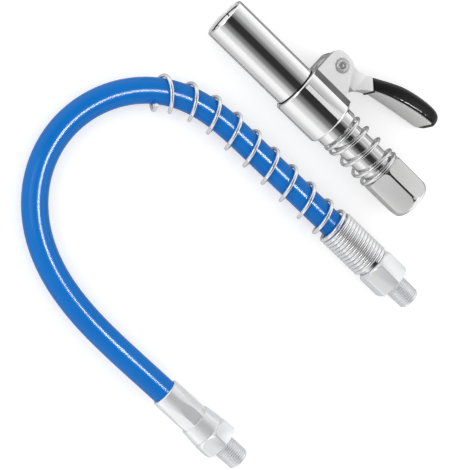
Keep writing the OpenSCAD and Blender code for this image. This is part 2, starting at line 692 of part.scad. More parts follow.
module seal_plunger() {
    shaft = chamber_d / 2 - running;
    groove_x = plunger_rear_x + 3;
    color("darkgray") laid() turned([
        [plunger_hole_d / 2, plunger_rear_x], [shaft - 0.3, plunger_rear_x], [shaft, plunger_rear_x + 0.3],
        [shaft, groove_x], [shaft - oring_section - 0.02, groove_x],
        [shaft - oring_section - 0.02, groove_x + 1.2], [shaft, groove_x + 1.2],
        [shaft, plunger_collar_x], [plunger_collar_d / 2, plunger_collar_x], [plunger_collar_d / 2, seal_x],
        [seal_post_r, seal_x], [seal_post_r, seal_x + 2], [plunger_hole_d / 2, seal_x + 2]]);
}

module plunger_oring() {
    color("black") laid() translate([plunger_rear_x + 3.6, 0, 0]) rotate([0, 90, 0]) rotate_extrude()
        translate([chamber_d / 2 - 0.03 - oring_section / 2, 0]) circle(d = oring_section, $fn = 24);
}

module seal_spring() {
    inner_r = seal_spring_d / 2 - seal_spring_wire;
    start_x = ball_x + sqrt(pow(ball_d / 2, 2) - inner_r * inner_r) + seal_spring_wire / 2 + 0.1;
    end_x = plunger_rear_x - seal_spring_wire / 2 - 0.1;
    color("gray") laid() coil(start_x, end_x - start_x, seal_spring_d, seal_spring_wire, 7, 1, 1, 12, 6);
}

module check_ball() {
    color("silver") laid() translate([ball_x, 0, 0]) sphere(d = ball_d);
}

// The hose, a tube with its bore open at both ends
module hose() {
    n = hose_sides;
    us = [for (i = [0:2 * (len(hose_route) - 1)]) i / 2];
    last = (len(us) - 1) * n;
    far = len(us) * n;
    outer = [for (u = us) let (f = hose_frame(u)) each ring(hose_at(u), hose_d / 2, f[1], f[2], n)];
    inner = [for (u = us) let (f = hose_frame(u)) each ring(hose_at(u), hose_bore_d / 2, f[1], f[2], n)];
    outside = [for (a = [0:n:last - 1], j = [0:n - 1])
        let (k = (j + 1) % n) each [[a + j, a + k + n, a + k], [a + j, a + j + n, a + k + n]]];
    inside = [for (f = outside) [f[0] + far, f[2] + far, f[1] + far]];
    start = [for (j = [0:n - 1]) let (k = (j + 1) % n) each [[j, k, far + k], [j, far + k, far + j]]];
    end = [for (f = start) [f[0] + last, f[2] + last, f[1] + last]];
    color("royalblue") polyhedron(points = concat(outer, inner),
                                  faces = concat(outside, inside, start, end), convexity = 10);
}

// Places a piece of the hose's end so that +X points into the hose from the hexagon's face
module at_end(flared) {
    place = hose_route[flared ? len(hose_route) - 1 : 0];
    translate(place) children();
}

module ferrule_a() {
    bore = hose_d / 2 + seat;
    color("silver") at_end(false) turned([
        [bore, 0.1], [ferrule_a_d / 2, 0.1], [ferrule_a_d / 2, ferrule_a_length - 0.4],
        [ferrule_a_d / 2 - 0.4, ferrule_a_length], [bore, ferrule_a_length]]);
}

module ferrule_b() {
    bore = hose_d / 2 + seat;
    flare = (ferrule_b_end_d - ferrule_b_d) / 2;
    color("silver") at_end(true) difference() {
        turned(concat([[bore, 0.1]],
            [for (i = [0:10]) let (u = i / 10)
                [ferrule_b_d / 2 + flare * pow(1 - u, 2.2), 0.1 + (ferrule_b_length - 0.5) * u]],
            [[ferrule_b_d / 2 - 0.4, ferrule_b_length], [bore, ferrule_b_length]]));
        for (k = [0:7]) rotate([45 * k, 0, 0])
            translate([ferrule_b_length - crimp_length, -ferrule_b_d, ferrule_b_d / 2 - crimp_depth])
                rotate([0, -1.2, 0]) cube([crimp_length + 1, 2 * ferrule_b_d, ferrule_b_d]);
    }
}

// Hose fitting: threaded end, hexagon and the tail that holds the hose
module fitting(hex_length, tail_length) {
    corner_r = fitting_flats / cos(30) / 2 - 0.2;
    thread_x = -hex_length - thread_length;
    difference() {
        union() {
            intersection() {
                hex_bar(fitting_flats, -hex_length, 0, 90);
                turned([[0, -hex_length], [corner_r - 0.9, -hex_length], [corner_r, -hex_length + 0.6],
                        [corner_r, -1.8], [corner_r - 1.4, 0], [0, 0]]);
            }
            turned([[0, thread_x], [thread_d / 2 - 0.9, thread_x], [thread_d / 2, thread_x + 0.9],
                    [thread_d / 2, -hex_length - 1.2], [thread_d / 2 - 0.6, -hex_length - 0.7],
                    [thread_d / 2 - 0.6, 0], [0, 0]]);
            turned(concat([[0, -0.5], [tail_d / 2 - 0.3, -0.5]],
                [for (k = [1:4]) each [[tail_d / 2 - 0.35, tail_length * (k - 0.15) / 4.6],
                                       [tail_d / 2, tail_length * k / 4.6]]],
                [[tail_d / 2 - 0.6, tail_length], [0, tail_length]]));
        }
        rod(fitting_bore_d, thread_x - 1, tail_length + 1);
    }
}

module fitting_a() {
    color("silver") at_end(false) fitting(hex_a_length, ferrule_a_length - 2);
}

module fitting_b() {
    color("silver") at_end(true) fitting(hex_b_length, ferrule_b_length - 2);
}

// Advance of the guard spring after a number of turns: closed ones, then an opening ramp
function guard_advance(turn) =
    let (closed_pitch = guard_wire + 0.06, ramp = 2, u = turn - guard_closed_turns,
         start = closed_pitch * guard_closed_turns, gain = guard_pitch - closed_pitch)
    u < 0 ? closed_pitch * turn
    : u < ramp ? start + closed_pitch * u + gain * u * u / (2 * ramp)
    : start + closed_pitch * ramp + gain * ramp / 2 + guard_pitch * (u - ramp);

module guard_spring() {
    steps = 16;
    count = round(steps * (guard_closed_turns + guard_open_turns));
    closed_r = (ferrule_a_d / 2 + seat + guard_wire / 2) / cos(180 / steps);
    open_r = (guard_d - guard_wire) / 2;
    indices = [for (i = [0:count]) hose_index(guard_advance(i / steps) + guard_wire / 2 + 0.3)];
    outward = [for (i = [0:count]) let (f = hose_frame(indices[i]), a = 360 * i / steps + 90)
        cos(a) * f[1] + sin(a) * f[2]];
    path = [for (i = [0:count])
        let (opening = min(1, max(0, i / steps - guard_closed_turns) / 1.5),
             r = closed_r + (open_r - closed_r) * opening)
        hose_at(indices[i]) + guard_lean * opening * hose_frame(indices[i])[1] + r * outward[i]];
    color("lightgray") wire(path, outward, guard_wire / 2, 6);
}

stem();
hex_nut();
nut_washer();
jaw_ring();
barrel();
collar();
rear_bush();
pivot_pin();
main_spring();
lever();
lever_grip();
jaw(1);  // jaw_1
jaw(2);  // jaw_2
jaw(3);  // jaw_3
jaw(4);  // jaw_4
jaw(5);  // jaw_5
jaw(6);  // jaw_6
seal_cup();
seal_plunger();
plunger_oring();
seal_spring();
check_ball();
hose();
ferrule_a();
fitting_a();
guard_spring();
ferrule_b();
fitting_b();
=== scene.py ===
"""Grease coupler with hose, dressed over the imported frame. Sizes are millimetres unless said otherwise."""
import logging
import math
from dataclasses import dataclass, field
from enum import Enum
from functools import cache
from typing import Any, Callable

import bpy
from mathutils import Matrix, Vector


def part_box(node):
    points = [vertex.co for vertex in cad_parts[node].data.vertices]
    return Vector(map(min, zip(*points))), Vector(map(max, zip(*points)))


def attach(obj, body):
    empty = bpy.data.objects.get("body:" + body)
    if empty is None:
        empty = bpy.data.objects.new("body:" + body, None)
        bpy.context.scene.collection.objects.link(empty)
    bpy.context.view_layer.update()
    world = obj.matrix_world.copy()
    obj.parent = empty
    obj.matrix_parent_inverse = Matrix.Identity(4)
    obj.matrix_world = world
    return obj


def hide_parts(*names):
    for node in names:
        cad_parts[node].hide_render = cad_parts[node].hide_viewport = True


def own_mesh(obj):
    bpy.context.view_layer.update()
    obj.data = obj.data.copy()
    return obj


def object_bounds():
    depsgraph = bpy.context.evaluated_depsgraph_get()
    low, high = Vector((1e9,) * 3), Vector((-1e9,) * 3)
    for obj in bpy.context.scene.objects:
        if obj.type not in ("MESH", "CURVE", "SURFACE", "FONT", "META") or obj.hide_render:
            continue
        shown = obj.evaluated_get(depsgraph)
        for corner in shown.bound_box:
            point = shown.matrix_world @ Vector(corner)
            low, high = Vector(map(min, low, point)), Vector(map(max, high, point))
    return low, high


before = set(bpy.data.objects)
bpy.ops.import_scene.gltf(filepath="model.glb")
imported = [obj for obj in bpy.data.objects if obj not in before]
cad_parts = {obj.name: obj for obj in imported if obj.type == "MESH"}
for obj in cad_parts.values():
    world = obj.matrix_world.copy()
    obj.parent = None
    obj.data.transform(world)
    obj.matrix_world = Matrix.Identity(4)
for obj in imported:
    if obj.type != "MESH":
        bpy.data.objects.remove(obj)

LOG = logging.getLogger("grease_coupler")
MM = 0.001
CAD_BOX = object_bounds()
MIDDLE = (CAD_BOX[0] + CAD_BOX[1]) / 2
# Turn of the coupler about its tube, as it lies on the table
ROLL = Matrix.Rotation(math.radians(3.7), 4, "X")
# Ways across the lever's two ears, and from the tube out to the lever
ACROSS = ROLL.to_3x3() @ Vector((0, 0, 1))
OUTWARD = ROLL.to_3x3() @ Vector((0, -1, 0))
# Metres within which doubled points are merged
WELD = 0.5e-6
# Gap between the closed turns of a spring
SPRING_GAP = 0.06
WHITE = (1.0, 1.0, 1.0, 1.0)
Piece = bpy.types.Object
Node = bpy.types.Node
NodeTree = bpy.types.NodeTree
Socket = bpy.types.NodeSocket
Profile = list[tuple[float, float]]
Pairs = tuple[tuple[float, float], ...]
Chooser = Callable[[Vector, Vector], bool]
Feeds = dict[str | int, Any]


class Body(Enum):
    """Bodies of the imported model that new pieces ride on, apart from the jaws."""

    CORE = "coupler_core"
    SLEEVE = "sleeve"
    LEVER = "lever"
    HOSE = "hose_assembly"


class Lay(Enum):
    """Direction of the fine marks in a surface, as marks per metre along X and across it."""

    TURNED = (5200.0, 90.0)
    DRAWN = (160.0, 3600.0)
    BLASTED = (2600.0, 2600.0)
    MOULDED = (1400.0, 1400.0)
    WIRE = (900.0, 900.0)


# Finishes

class Wiring:
    """Adds shader nodes to a tree, and sets or links their inputs."""

    def __init__(self, tree: NodeTree) -> None:
        """Keep the tree that the nodes go in."""
        self.tree = tree

    def feed(self, node: Node, feeds: Feeds) -> None:
        """Set or link inputs of a node.

        Args:
            node: The node.
            feeds: The value, or the socket that is linked, for each input's name or number.
        """
        for name, source in feeds.items():
            if isinstance(source, Socket):
                self.tree.links.new(source, node.inputs[name])
            else:
                node.inputs[name].default_value = source

    def add(self, kind: str, feeds: Feeds | None = None, **settings: Any) -> Node:
        """Add a node.

        Args:
            kind: Its type, without the ShaderNode in front.
            feeds: What its inputs get.
            **settings: Its settings by name.

        Returns:
            The node.
        """
        node = self.tree.nodes.new(f"ShaderNode{kind}")
        for name, value in settings.items():
            setattr(node, name, value)
        self.feed(node, feeds or {})
        return node

    def out(self, kind: str, feeds: Feeds | None = None, **settings: Any) -> Socket:
        """Add a node and give its first output that is in use, as for add."""
        return next(s for s in self.add(kind, feeds, **settings).outputs if s.enabled)

    def place(self) -> Socket:
        """Object coordinates of the surface."""
        return self.add("TexCoord").outputs["Object"]


def start_group(name: str, inputs: tuple[str, ...], outputs: tuple[str, ...]) -> tuple[Wiring, Node, Node]:
    """Start a node group whose sockets are plain numbers.

    Args:
        name: The group's name.
        inputs: Names of its inputs.
        outputs: Names of its outputs.

    Returns:
        The group's wiring, its input node and its output node.
    """
    group = bpy.data.node_groups.new(name, "ShaderNodeTree")
    for side, sockets in (("INPUT", inputs), ("OUTPUT", outputs)):
        for socket in sockets:
            group.interface.new_socket(socket, in_out=side, socket_type="NodeSocketFloat")
    return Wiring(group), group.nodes.new("NodeGroupInput"), group.nodes.new("NodeGroupOutput")


@cache
def marks_group() -> NodeTree:
    """Node group of fine marks and slow clouds.

    Returns:
        The group, built once, with outputs Marks and Cloud from 0 to 1.
    """
    wiring, inlet, outlet = start_group("fine_marks", ("Along", "Across", "Cloud Scale"), ("Marks", "Cloud"))
    place, given = wiring.place(), inlet.outputs
    scale = wiring.out("CombineXYZ", {"X": given["Along"], "Y": given["Across"], "Z": given["Across"]})
    stretch = wiring.out("VectorMath", {0: place, 1: scale}, operation="MULTIPLY")
    wiring.feed(outlet, {
        "Marks": wiring.out("TexNoise", {"Scale": 1.0, "Detail": 3.0, "Vector": stretch}),
        "Cloud": wiring.out("TexNoise", {
            "Detail": 4.0, "Roughness": 0.55, "Vector": place, "Scale": given["Cloud Scale"]})})
    return wiring.tree


@cache
def handling_group() -> NodeTree:
    """Node group of faint handling smears.

    Returns:
        The group, built once, whose output Smear is 0 on a clean surface and 1 in a smear.
    """
    wiring, inlet, outlet = start_group("handling_smears", ("Scale", "Cover"), ("Smear",))
    noise = wiring.out("TexNoise", {
        "Detail": 6.0, "Distortion": 0.8, "Vector": wiring.place(), "Scale": inlet.outputs["Scale"]})
    smear = wiring.out("MapRange", {"Value": noise, "From Min": inlet.outputs["Cover"], "From Max": 0.78},
                       interpolation_type="SMOOTHSTEP")
    wiring.feed(outlet, {"Smear": smear})
    return wiring.tree


@dataclass(frozen=True)
class Finish:
    """A surface finish: its colour, gloss, marks and wear, and the record's slot it stands for."""

    name: str
    slot: str
    colour: tuple[float, float, float]
    metallic: float
    roughness: float
    lay: Lay
    mark_depth: float = 0.0015
    gloss_swing: float = 0.03
    shade_swing: float = 0.05
    smear: float = 0.05
    smear_cover: float = 0.5
    cloud_scale: float = 90.0
    smears_per_cloud: float = 1.9
    coat: float = 0.0
    coat_roughness: float = 0.06
    specular: float = 0.5

    @cache
    def material(self) -> bpy.types.Material:
        """Build the finish's material.

        Returns:
            The material, the same one at each call.
        """
        material = bpy.data.materials.new(self.name)
        material.use_nodes = True
        wiring = Wiring(material.node_tree)
        along, across = self.lay.value
        marks = wiring.add("Group", {"Along": along, "Across": across, "Cloud Scale": self.cloud_scale},
                           node_tree=marks_group()).outputs
        smear = wiring.out("Group", {"Scale": self.smears_per_cloud * self.cloud_scale,
                                     "Cover": self.smear_cover}, node_tree=handling_group())
        gloss = wiring.out("MapRange", {
            "To Min": max(0.01, self.roughness - self.gloss_swing),
            "To Max": self.roughness + self.gloss_swing, "Value": marks["Cloud"]})
        shades = {socket: (*(min(1.0, part * tone) for part in self.colour), 1.0)
                  for socket, tone in (("A", 1 - self.shade_swing), ("B", 1 + self.shade_swing))}
        wiring.feed(material.node_tree.nodes["Principled BSDF"], {
            "Metallic": self.metallic, "Specular IOR Level": self.specular, "Coat Weight": self.coat,
            "Coat Roughness": self.coat_roughness,
            "Roughness": wiring.out("Math", {0: smear, 1: self.smear, 2: gloss}, operation="MULTIPLY_ADD"),
            "Base Color": wiring.out("Mix", {"Factor": marks["Cloud"], **shades}, data_type="RGBA"),
            "Normal": wiring.out("Bump", {
                "Strength": 1.0, "Distance": self.mark_depth * MM, "Height": marks["Marks"]})})
        return material

    def dress(self, piece: Piece) -> None:
        """Put the finish on all of a piece's material slots.

        Args:
            piece: The piece.
        """
        if not piece.material_slots:
            piece.data.materials.append(self.material())
        for slot in piece.material_slots:
            slot.material = self.material()

    def dress_faces(self, piece: Piece, chosen: Chooser) -> None:
        """Put the finish on the chosen faces of a dressed piece.

        Args:
            piece: The piece, which already has a finish.
            chosen: Takes a face's centre in millimetres and its normal, and says whether the face is chosen.
        """
        piece.data.materials.append(self.material())
        for face in piece.data.polygons:
            if chosen(face.center / MM, face.normal):
                face.material_index = len(piece.data.materials) - 1


CHROME = Finish("bright_chrome", "chrome_sleeve", (0.93, 0.93, 0.94), 1.0, 0.06, Lay.TURNED, 0.0005)
SATIN_CHROME = Finish("satin_flats", "chrome_sleeve", (0.94, 0.94, 0.94), 0.35, 0.34, Lay.BLASTED, 0.001)
# Painted shade: the fairing's flats are the sleeve's chrome made near-black, to look as they do in shade
FAIRING_PAINTED_SHADE = Finish("fairing_painted_shade", "chrome_sleeve", (0.13, 0.13, 0.132), 1.0, 0.3, Lay.DRAWN, 0.001)
PADDLE_STEEL = Finish("paddle_underside", "chrome_sleeve", (0.92, 0.92, 0.91), 0.3, 0.3, Lay.BLASTED, 0.001)
RIVET_STEEL = Finish("rivet_head", "polished_steel", (0.82, 0.82, 0.83), 0.8, 0.2, Lay.BLASTED, 0.0003)
NICKEL = Finish("bright_nickel", "zinc_steel", (0.88, 0.89, 0.91), 0.5, 0.22, Lay.TURNED, 0.0005)
POLISHED = Finish("polished_tube", "polished_steel", (0.88, 0.88, 0.88), 1.0, 0.09, Lay.TURNED, 0.0005)
ZINC = Finish("zinc_plate", "zinc_steel", (0.82, 0.82, 0.83), 1.0, 0.14, Lay.TURNED, 0.0008)
SATIN_HEX = Finish("satin_hexagon", "zinc_steel", (0.64, 0.64, 0.635), 0.3, 0.34, Lay.BLASTED, 0.001)
JAW_STEEL = Finish("hard_jaw_steel", "jaw_steel", (0.86, 0.86, 0.87), 0.6, 0.28, Lay.BLASTED, 0.0003)
SPRING_STEEL = Finish("spring_wire", "spring_steel", (0.84, 0.84, 0.85), 1.0, 0.14, Lay.WIRE, 0.001)
GUARD_WIRE = Finish("guard_wire", "spring_steel", (0.92, 0.92, 0.93), 0.8, 0.17, Lay.WIRE, 0.0005)
# Painted shade: near-black finish for the barrel's bore behind the mouth and for the groove before the collar
BORE_PAINTED_SHADE = Finish("painted_shade_bore", "chrome_sleeve", (0.025, 0.025, 0.026), 0.5, 0.4, Lay.TURNED, 0.001)
# Painted shade: near-black finish in the slits between the jaws
SLIT_PAINTED_SHADE = Finish("painted_shade_slits", "jaw_steel", (0.012, 0.012, 0.012), 0.3, 0.5, Lay.BLASTED, 0.0005)
COPPER = Finish("copper_seal_washer", "copper_washer", (0.72, 0.33, 0.19), 1.0, 0.3, Lay.TURNED, 0.002)
BLACK_GRIP = Finish("black_grip_vinyl", "black_grip", (0.0025, 0.0025, 0.0026), 0.0, 0.34, Lay.MOULDED, 0.003,
                    gloss_swing=0.05, shade_swing=0.3, coat=0.4, coat_roughness=0.08, specular=0.15)
RUBBER = Finish("seal_nitrile", "seal_rubber", (0.020, 0.019, 0.018), 0.0, 0.5, Lay.MOULDED, 0.004,
                shade_swing=0.25)
BLUE_HOSE = Finish("blue_hose_skin", "blue_hose", (0.001, 0.157, 0.550), 0.0, 0.22, Lay.MOULDED, 0.0006,
                   gloss_swing=0.04, shade_swing=0.10, smear=0.06, cloud_scale=45.0, coat=0.12,
                   coat_roughness=0.09, specular=0.16)


# Modelling tools

def turned(degrees: float, axis: str) -> Matrix:
    """Turn about an axis through the origin."""
    return Matrix.Rotation(math.radians(degrees), 4, axis)


def moved(x: float, y: float, z: float) -> Matrix:
    """Move by three lengths."""
    return Matrix.Translation((x * MM, y * MM, z * MM))


def sized(x: float, y: float, z: float) -> Matrix:
    """Stretch a shape of unit size to three lengths."""
    return Matrix.Diagonal((x, y, z, 1.0))


def corner_radius(flats: float) -> float:
    """Radius over the corners of a hexagon, from its width across flats."""
    return flats / math.cos(math.pi / 6) / 2


def arc(cx: float, cy: float, rx: float, ry: float, first: float, last: float, steps: int) -> Profile:
    """Points on an arc of a circle or an oval.

    Args:
        cx: Centre along X.
        cy: Centre's radius.
        rx: The arc's radius along X.
        ry: The arc's radius outward.
        first: First angle in degrees.
        last: Last angle in degrees.
        steps: Pieces of the arc.

    Returns:
        The points from first to last.
    """
    angles = [math.radians(first + (last - first) * i / steps) for i in range(steps + 1)]
    return [(cx + rx * math.cos(a), cy + ry * math.sin(a)) for a in angles]


def set_down(piece: Piece, move: Matrix) -> None:
    """Move the points of a piece's mesh, and leave its object at the origin."""
    piece.data.transform(move)
    piece.data.update()


def hand_over(piece: Piece, body: str, finish: Finish, *nodes: str) -> Piece:
    """Dress a finished piece, let it ride on its body and stand for its CAD nodes.

    Args:
        piece: The finished piece.
        body: Name of the body that it rides on.
        finish: The finish it wears.
        *nodes: Names of the CAD nodes it stands for.

    Returns:
        The piece.
    """
    finish.dress(piece)
    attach(piece, body)
    if nodes:
        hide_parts(*nodes)
    LOG.info("%s rides on %s and stands for %s", piece.name, body, nodes or "no node")
    return piece


class Bench:
    """Tools that the pieces are modelled with."""

    @staticmethod
    def clear() -> None:
        """Leave edit mode and deselect everything."""
        if bpy.context.object and bpy.context.object.mode != "OBJECT":
            bpy.ops.object.mode_set(mode="OBJECT")
        bpy.ops.object.select_all(action="DESELECT")

    @staticmethod
    def pick(piece: Piece) -> None:
        """Make a piece the only selected one and the active one.

        Args:
            piece: The piece.
        """
        Bench.clear()
        piece.select_set(True)
        bpy.context.view_layer.objects.active = piece

    @staticmethod
    def edit() -> None:
        """Go into edit mode with the whole mesh selected."""
        bpy.ops.object.mode_set(mode="EDIT")
        bpy.ops.mesh.select_all(action="SELECT")

    @staticmethod
    def named(name: str) -> Piece:
        """Name the active object and its mesh.

        Args:
            name: The name of both.

        Returns:
            The active object.
        """
        piece = bpy.context.object
        piece.name = piece.data.name = name
        return piece

    @staticmethod
    def modify(piece: Piece, kind: str, **settings: Any) -> None:
        """Apply a modifier on a piece.

        Args:
            piece: The piece that is changed.
            kind: The modifier's type.
            **settings: Its settings by name.
        """
        Bench.pick(piece)
        bpy.ops.object.modifier_add(type=kind)
        step = piece.modifiers[-1]
        for name, value in settings.items():
            setattr(step, name, value)
        bpy.ops.object.modifier_apply(modifier=step.name)

    @staticmethod
    def unit(name: str, flat: bool, place: Matrix) -> Piece:
        """Add a plane or a cube of unit size, and put it where a matrix says.

        Args:
            name: The piece's name.
            flat: Whether it is a plane.
            place: Its place and size.

        Returns:
            The piece.
        """
        Bench.clear()
        if flat:
            bpy.ops.mesh.primitive_plane_add(size=MM)
        else:
            bpy.ops.mesh.primitive_cube_add(size=MM)
        piece = Bench.named(name)
        set_down(piece, place)
        return piece

    @staticmethod
    def draw(name: str, points: Profile) -> Piece:
        """Draw a line of place along X and radius by extruding a point, and stay in edit mode.

        Args:
            name: The piece's name.
            points: Place and radius of each corner.

        Returns:
            The line's object.
        """
        Bench.clear()
        bpy.ops.mesh.primitive_plane_add(size=MM)
        piece = Bench.named(name)
        Bench.edit()
        bpy.ops.mesh.merge(type="CENTER")
        here = Vector((points[0][0], 0.0, points[0][1]))
        bpy.ops.transform.translate(value=here * MM)
        for x, radius in points[1:]:
            there = Vector((x, 0.0, radius))
            bpy.ops.mesh.extrude_region()
            bpy.ops.transform.translate(value=(there - here) * MM)
            here = there
        bpy.ops.mesh.select_all(action="SELECT")
        return piece

    @staticmethod
    def close_shell() -> None:
        """Merge doubled points of the mesh in edit mode, turn its faces outward and leave edit mode."""
        bpy.ops.mesh.select_all(action="SELECT")
        bpy.ops.mesh.remove_doubles(threshold=WELD)
        bpy.ops.mesh.normals_make_consistent(inside=False)
        bpy.ops.object.mode_set(mode="OBJECT")

    @staticmethod
    def lathe(name: str, points: Profile, steps: int) -> Piece:
        """Spin a closed profile about X.

        Args:
            name: The piece's name.
            points: Place and radius of each corner, going round once.
            steps: Steps of the spin.

        Returns:
            The turned piece.
        """
        piece = Bench.draw(name, [*points, points[0]])
        bpy.ops.mesh.spin(steps=steps, angle=math.tau, center=(0, 0, 0), axis=(1, 0, 0))
        Bench.close_shell()
        return piece

    @staticmethod
    def hex_bar(name: str, flats: float, start: float, end: float, corner: float) -> Piece:
        """Six-sided bar about X.

        Args:
            name: The piece's name.
            flats: Width across flats.
            start: Its first end.
            end: Its second end.
            corner: Degrees from -Y, towards +Z, to its first corner.

        Returns:
            The bar.
        """
        Bench.clear()
        bpy.ops.mesh.primitive_cylinder_add(
            vertices=6, radius=corner_radius(flats) * MM, depth=(end - start) * MM)
        bar = Bench.named(name)
        bar.data.transform(moved((start + end) / 2, 0, 0) @ turned(-corner, "X") @ turned(90, "Y"))
        return bar

    @staticmethod
    def join_solid(piece: Piece, tool: Piece, operation: str) -> None:
        """Apply a Boolean of a tool on a piece and remove the tool.

        Args:
            piece: The piece that is changed.
            tool: The solid that works on it.
            operation: DIFFERENCE, INTERSECT or UNION.
        """
        Bench.modify(piece, "BOOLEAN", operation=operation, object=tool, solver="EXACT")
        bpy.data.objects.remove(tool)

    @staticmethod
    def smooth(piece: Piece, angle: float) -> None:
        """Shade a piece smooth.

        Args:
            piece: The piece.
            angle: Angle in degrees between faces, up to which their edge is smooth.
        """
        Bench.pick(piece)
        bpy.ops.object.shade_smooth_by_angle(angle=math.radians(angle))
        Bench.clear()

    @staticmethod
    def soften(piece: Piece, width: float, segments: int, least: float, smooth: float) -> None:
        """Round a piece's sharp edges and shade it smooth.

        Args:
            piece: The piece that is changed.
            width: Width of the rounding.
            segments: Faces across the rounding.
            least: Least angle in degrees of an edge that is rounded.
            smooth: Angle in degrees up to which it is shaded smooth.
        """
        Bench.modify(piece, "BEVEL", width=width * MM, segments=segments, limit_method="ANGLE",
                     angle_limit=math.radians(least), use_clamp_overlap=True)
        Bench.smooth(piece, smooth)

    @staticmethod
    def copy_of(node: str, name: str) -> Piece:
        """Copy a CAD node, merge its loose triangles and join them to flat faces.

        Args:
            node: The node's name.
            name: The copy's name.

        Returns:
            The merged copy, free of any parent.
        """
        Bench.clear()
        copy = bpy.data.objects[node].copy()
        copy.data = copy.data.copy()
        bpy.context.collection.objects.link(copy)
        copy.parent = None
        copy.matrix_world = Matrix.Identity(4)
        for key in list(copy.keys()):
            del copy[key]
        Bench.pick(copy)
        Bench.named(name)
        bpy.ops.mesh.customdata_custom_splitnormals_clear()
        Bench.edit()
        bpy.ops.mesh.remove_doubles(threshold=2 * WELD)
        bpy.ops.mesh.dissolve_limited(angle_limit=math.radians(0.5))
        bpy.ops.object.mode_set(mode="OBJECT")
        return copy

    @staticmethod
    def curve(name: str, kind: str, path: list[Vector], diameter: float, roundness: int) -> Piece:
        """Round curve along a path.

        Args:
            name: The piece's name.
            kind: POLY or NURBS.
            path: Its centres.
            diameter: Its diameter.
            roundness: Its bevel resolution.

        Returns:
            The curve's object.
        """
        Bench.clear()
        curve = bpy.data.curves.new(name, "CURVE")
        curve.dimensions = "3D"
        curve.bevel_depth = diameter / 2 * MM
        curve.bevel_resolution = roundness
        line = curve.splines.new(kind)
        line.points.add(len(path) - 1)
        for point, place in zip(line.points, path):
            point.co = (*(place * MM), 1.0)
        piece = bpy.data.objects.new(name, curve)
        bpy.context.collection.objects.link(piece)
        return piece

    @staticmethod
    def wire(name: str, path: list[Vector], diameter: float, sides: int) -> Piece:
        """Round wire along a path, made a mesh with closed ends.

        Args:
            name: The piece's name.
            path: The wire's centres.
            diameter: The wire's diameter.
            sides: Faces round the wire.

        Returns:
            The wire.
        """
        curve = Bench.curve(name, "POLY", path, diameter, sides // 2 - 1)
        curve.data.use_fill_caps = True
        Bench.pick(curve)
        bpy.ops.object.convert(target="MESH")
        piece = Bench.named(name)
        bpy.ops.object.mode_set(mode="EDIT")
        Bench.close_shell()
        Bench.smooth(piece, 50)
        return piece

    @staticmethod
    def thread(name: str, root: float, crest: float, start: float, end: float, pitch: float,
               limit: Callable[[float, float], float]) -> Piece:
        """Helical ridge about X, pressed flat where a limit says so.

        Args:
            name: The piece's name.
            root: Radius of the ridge's foot.
            crest: Radius of the ridge's crest.
            start: Where it starts.
            end: Where it ends.
            pitch: Advance of a turn.
            limit: Takes a place along X and a radius and gives the radius that is kept.

        Returns:
            The ridge.
        """
        foot, top = 0.45 * pitch, 0.07 * pitch
        piece = Bench.draw(name, [(start - foot, root), (start - top, crest), (start + top, crest),
                                  (start + foot, root), (start - foot, root)])
        Bench.modify(piece, "SCREW", axis="X", angle=math.tau, screw_offset=pitch * MM,
                     iterations=max(1, round((end - start) / pitch)), steps=40, render_steps=40)
        Bench.edit()
        bpy.ops.mesh.remove_doubles(threshold=WELD)
        bpy.ops.mesh.fill_holes(sides=0)
        Bench.close_shell()
        for vertex in piece.data.vertices:
            radius = math.hypot(vertex.co.y, vertex.co.z)
            kept = limit(vertex.co.x / MM, radius / MM) * MM
            vertex.co.y *= kept / radius
            vertex.co.z *= kept / radius
        Bench.smooth(piece, 25)
        return piece


# Studio

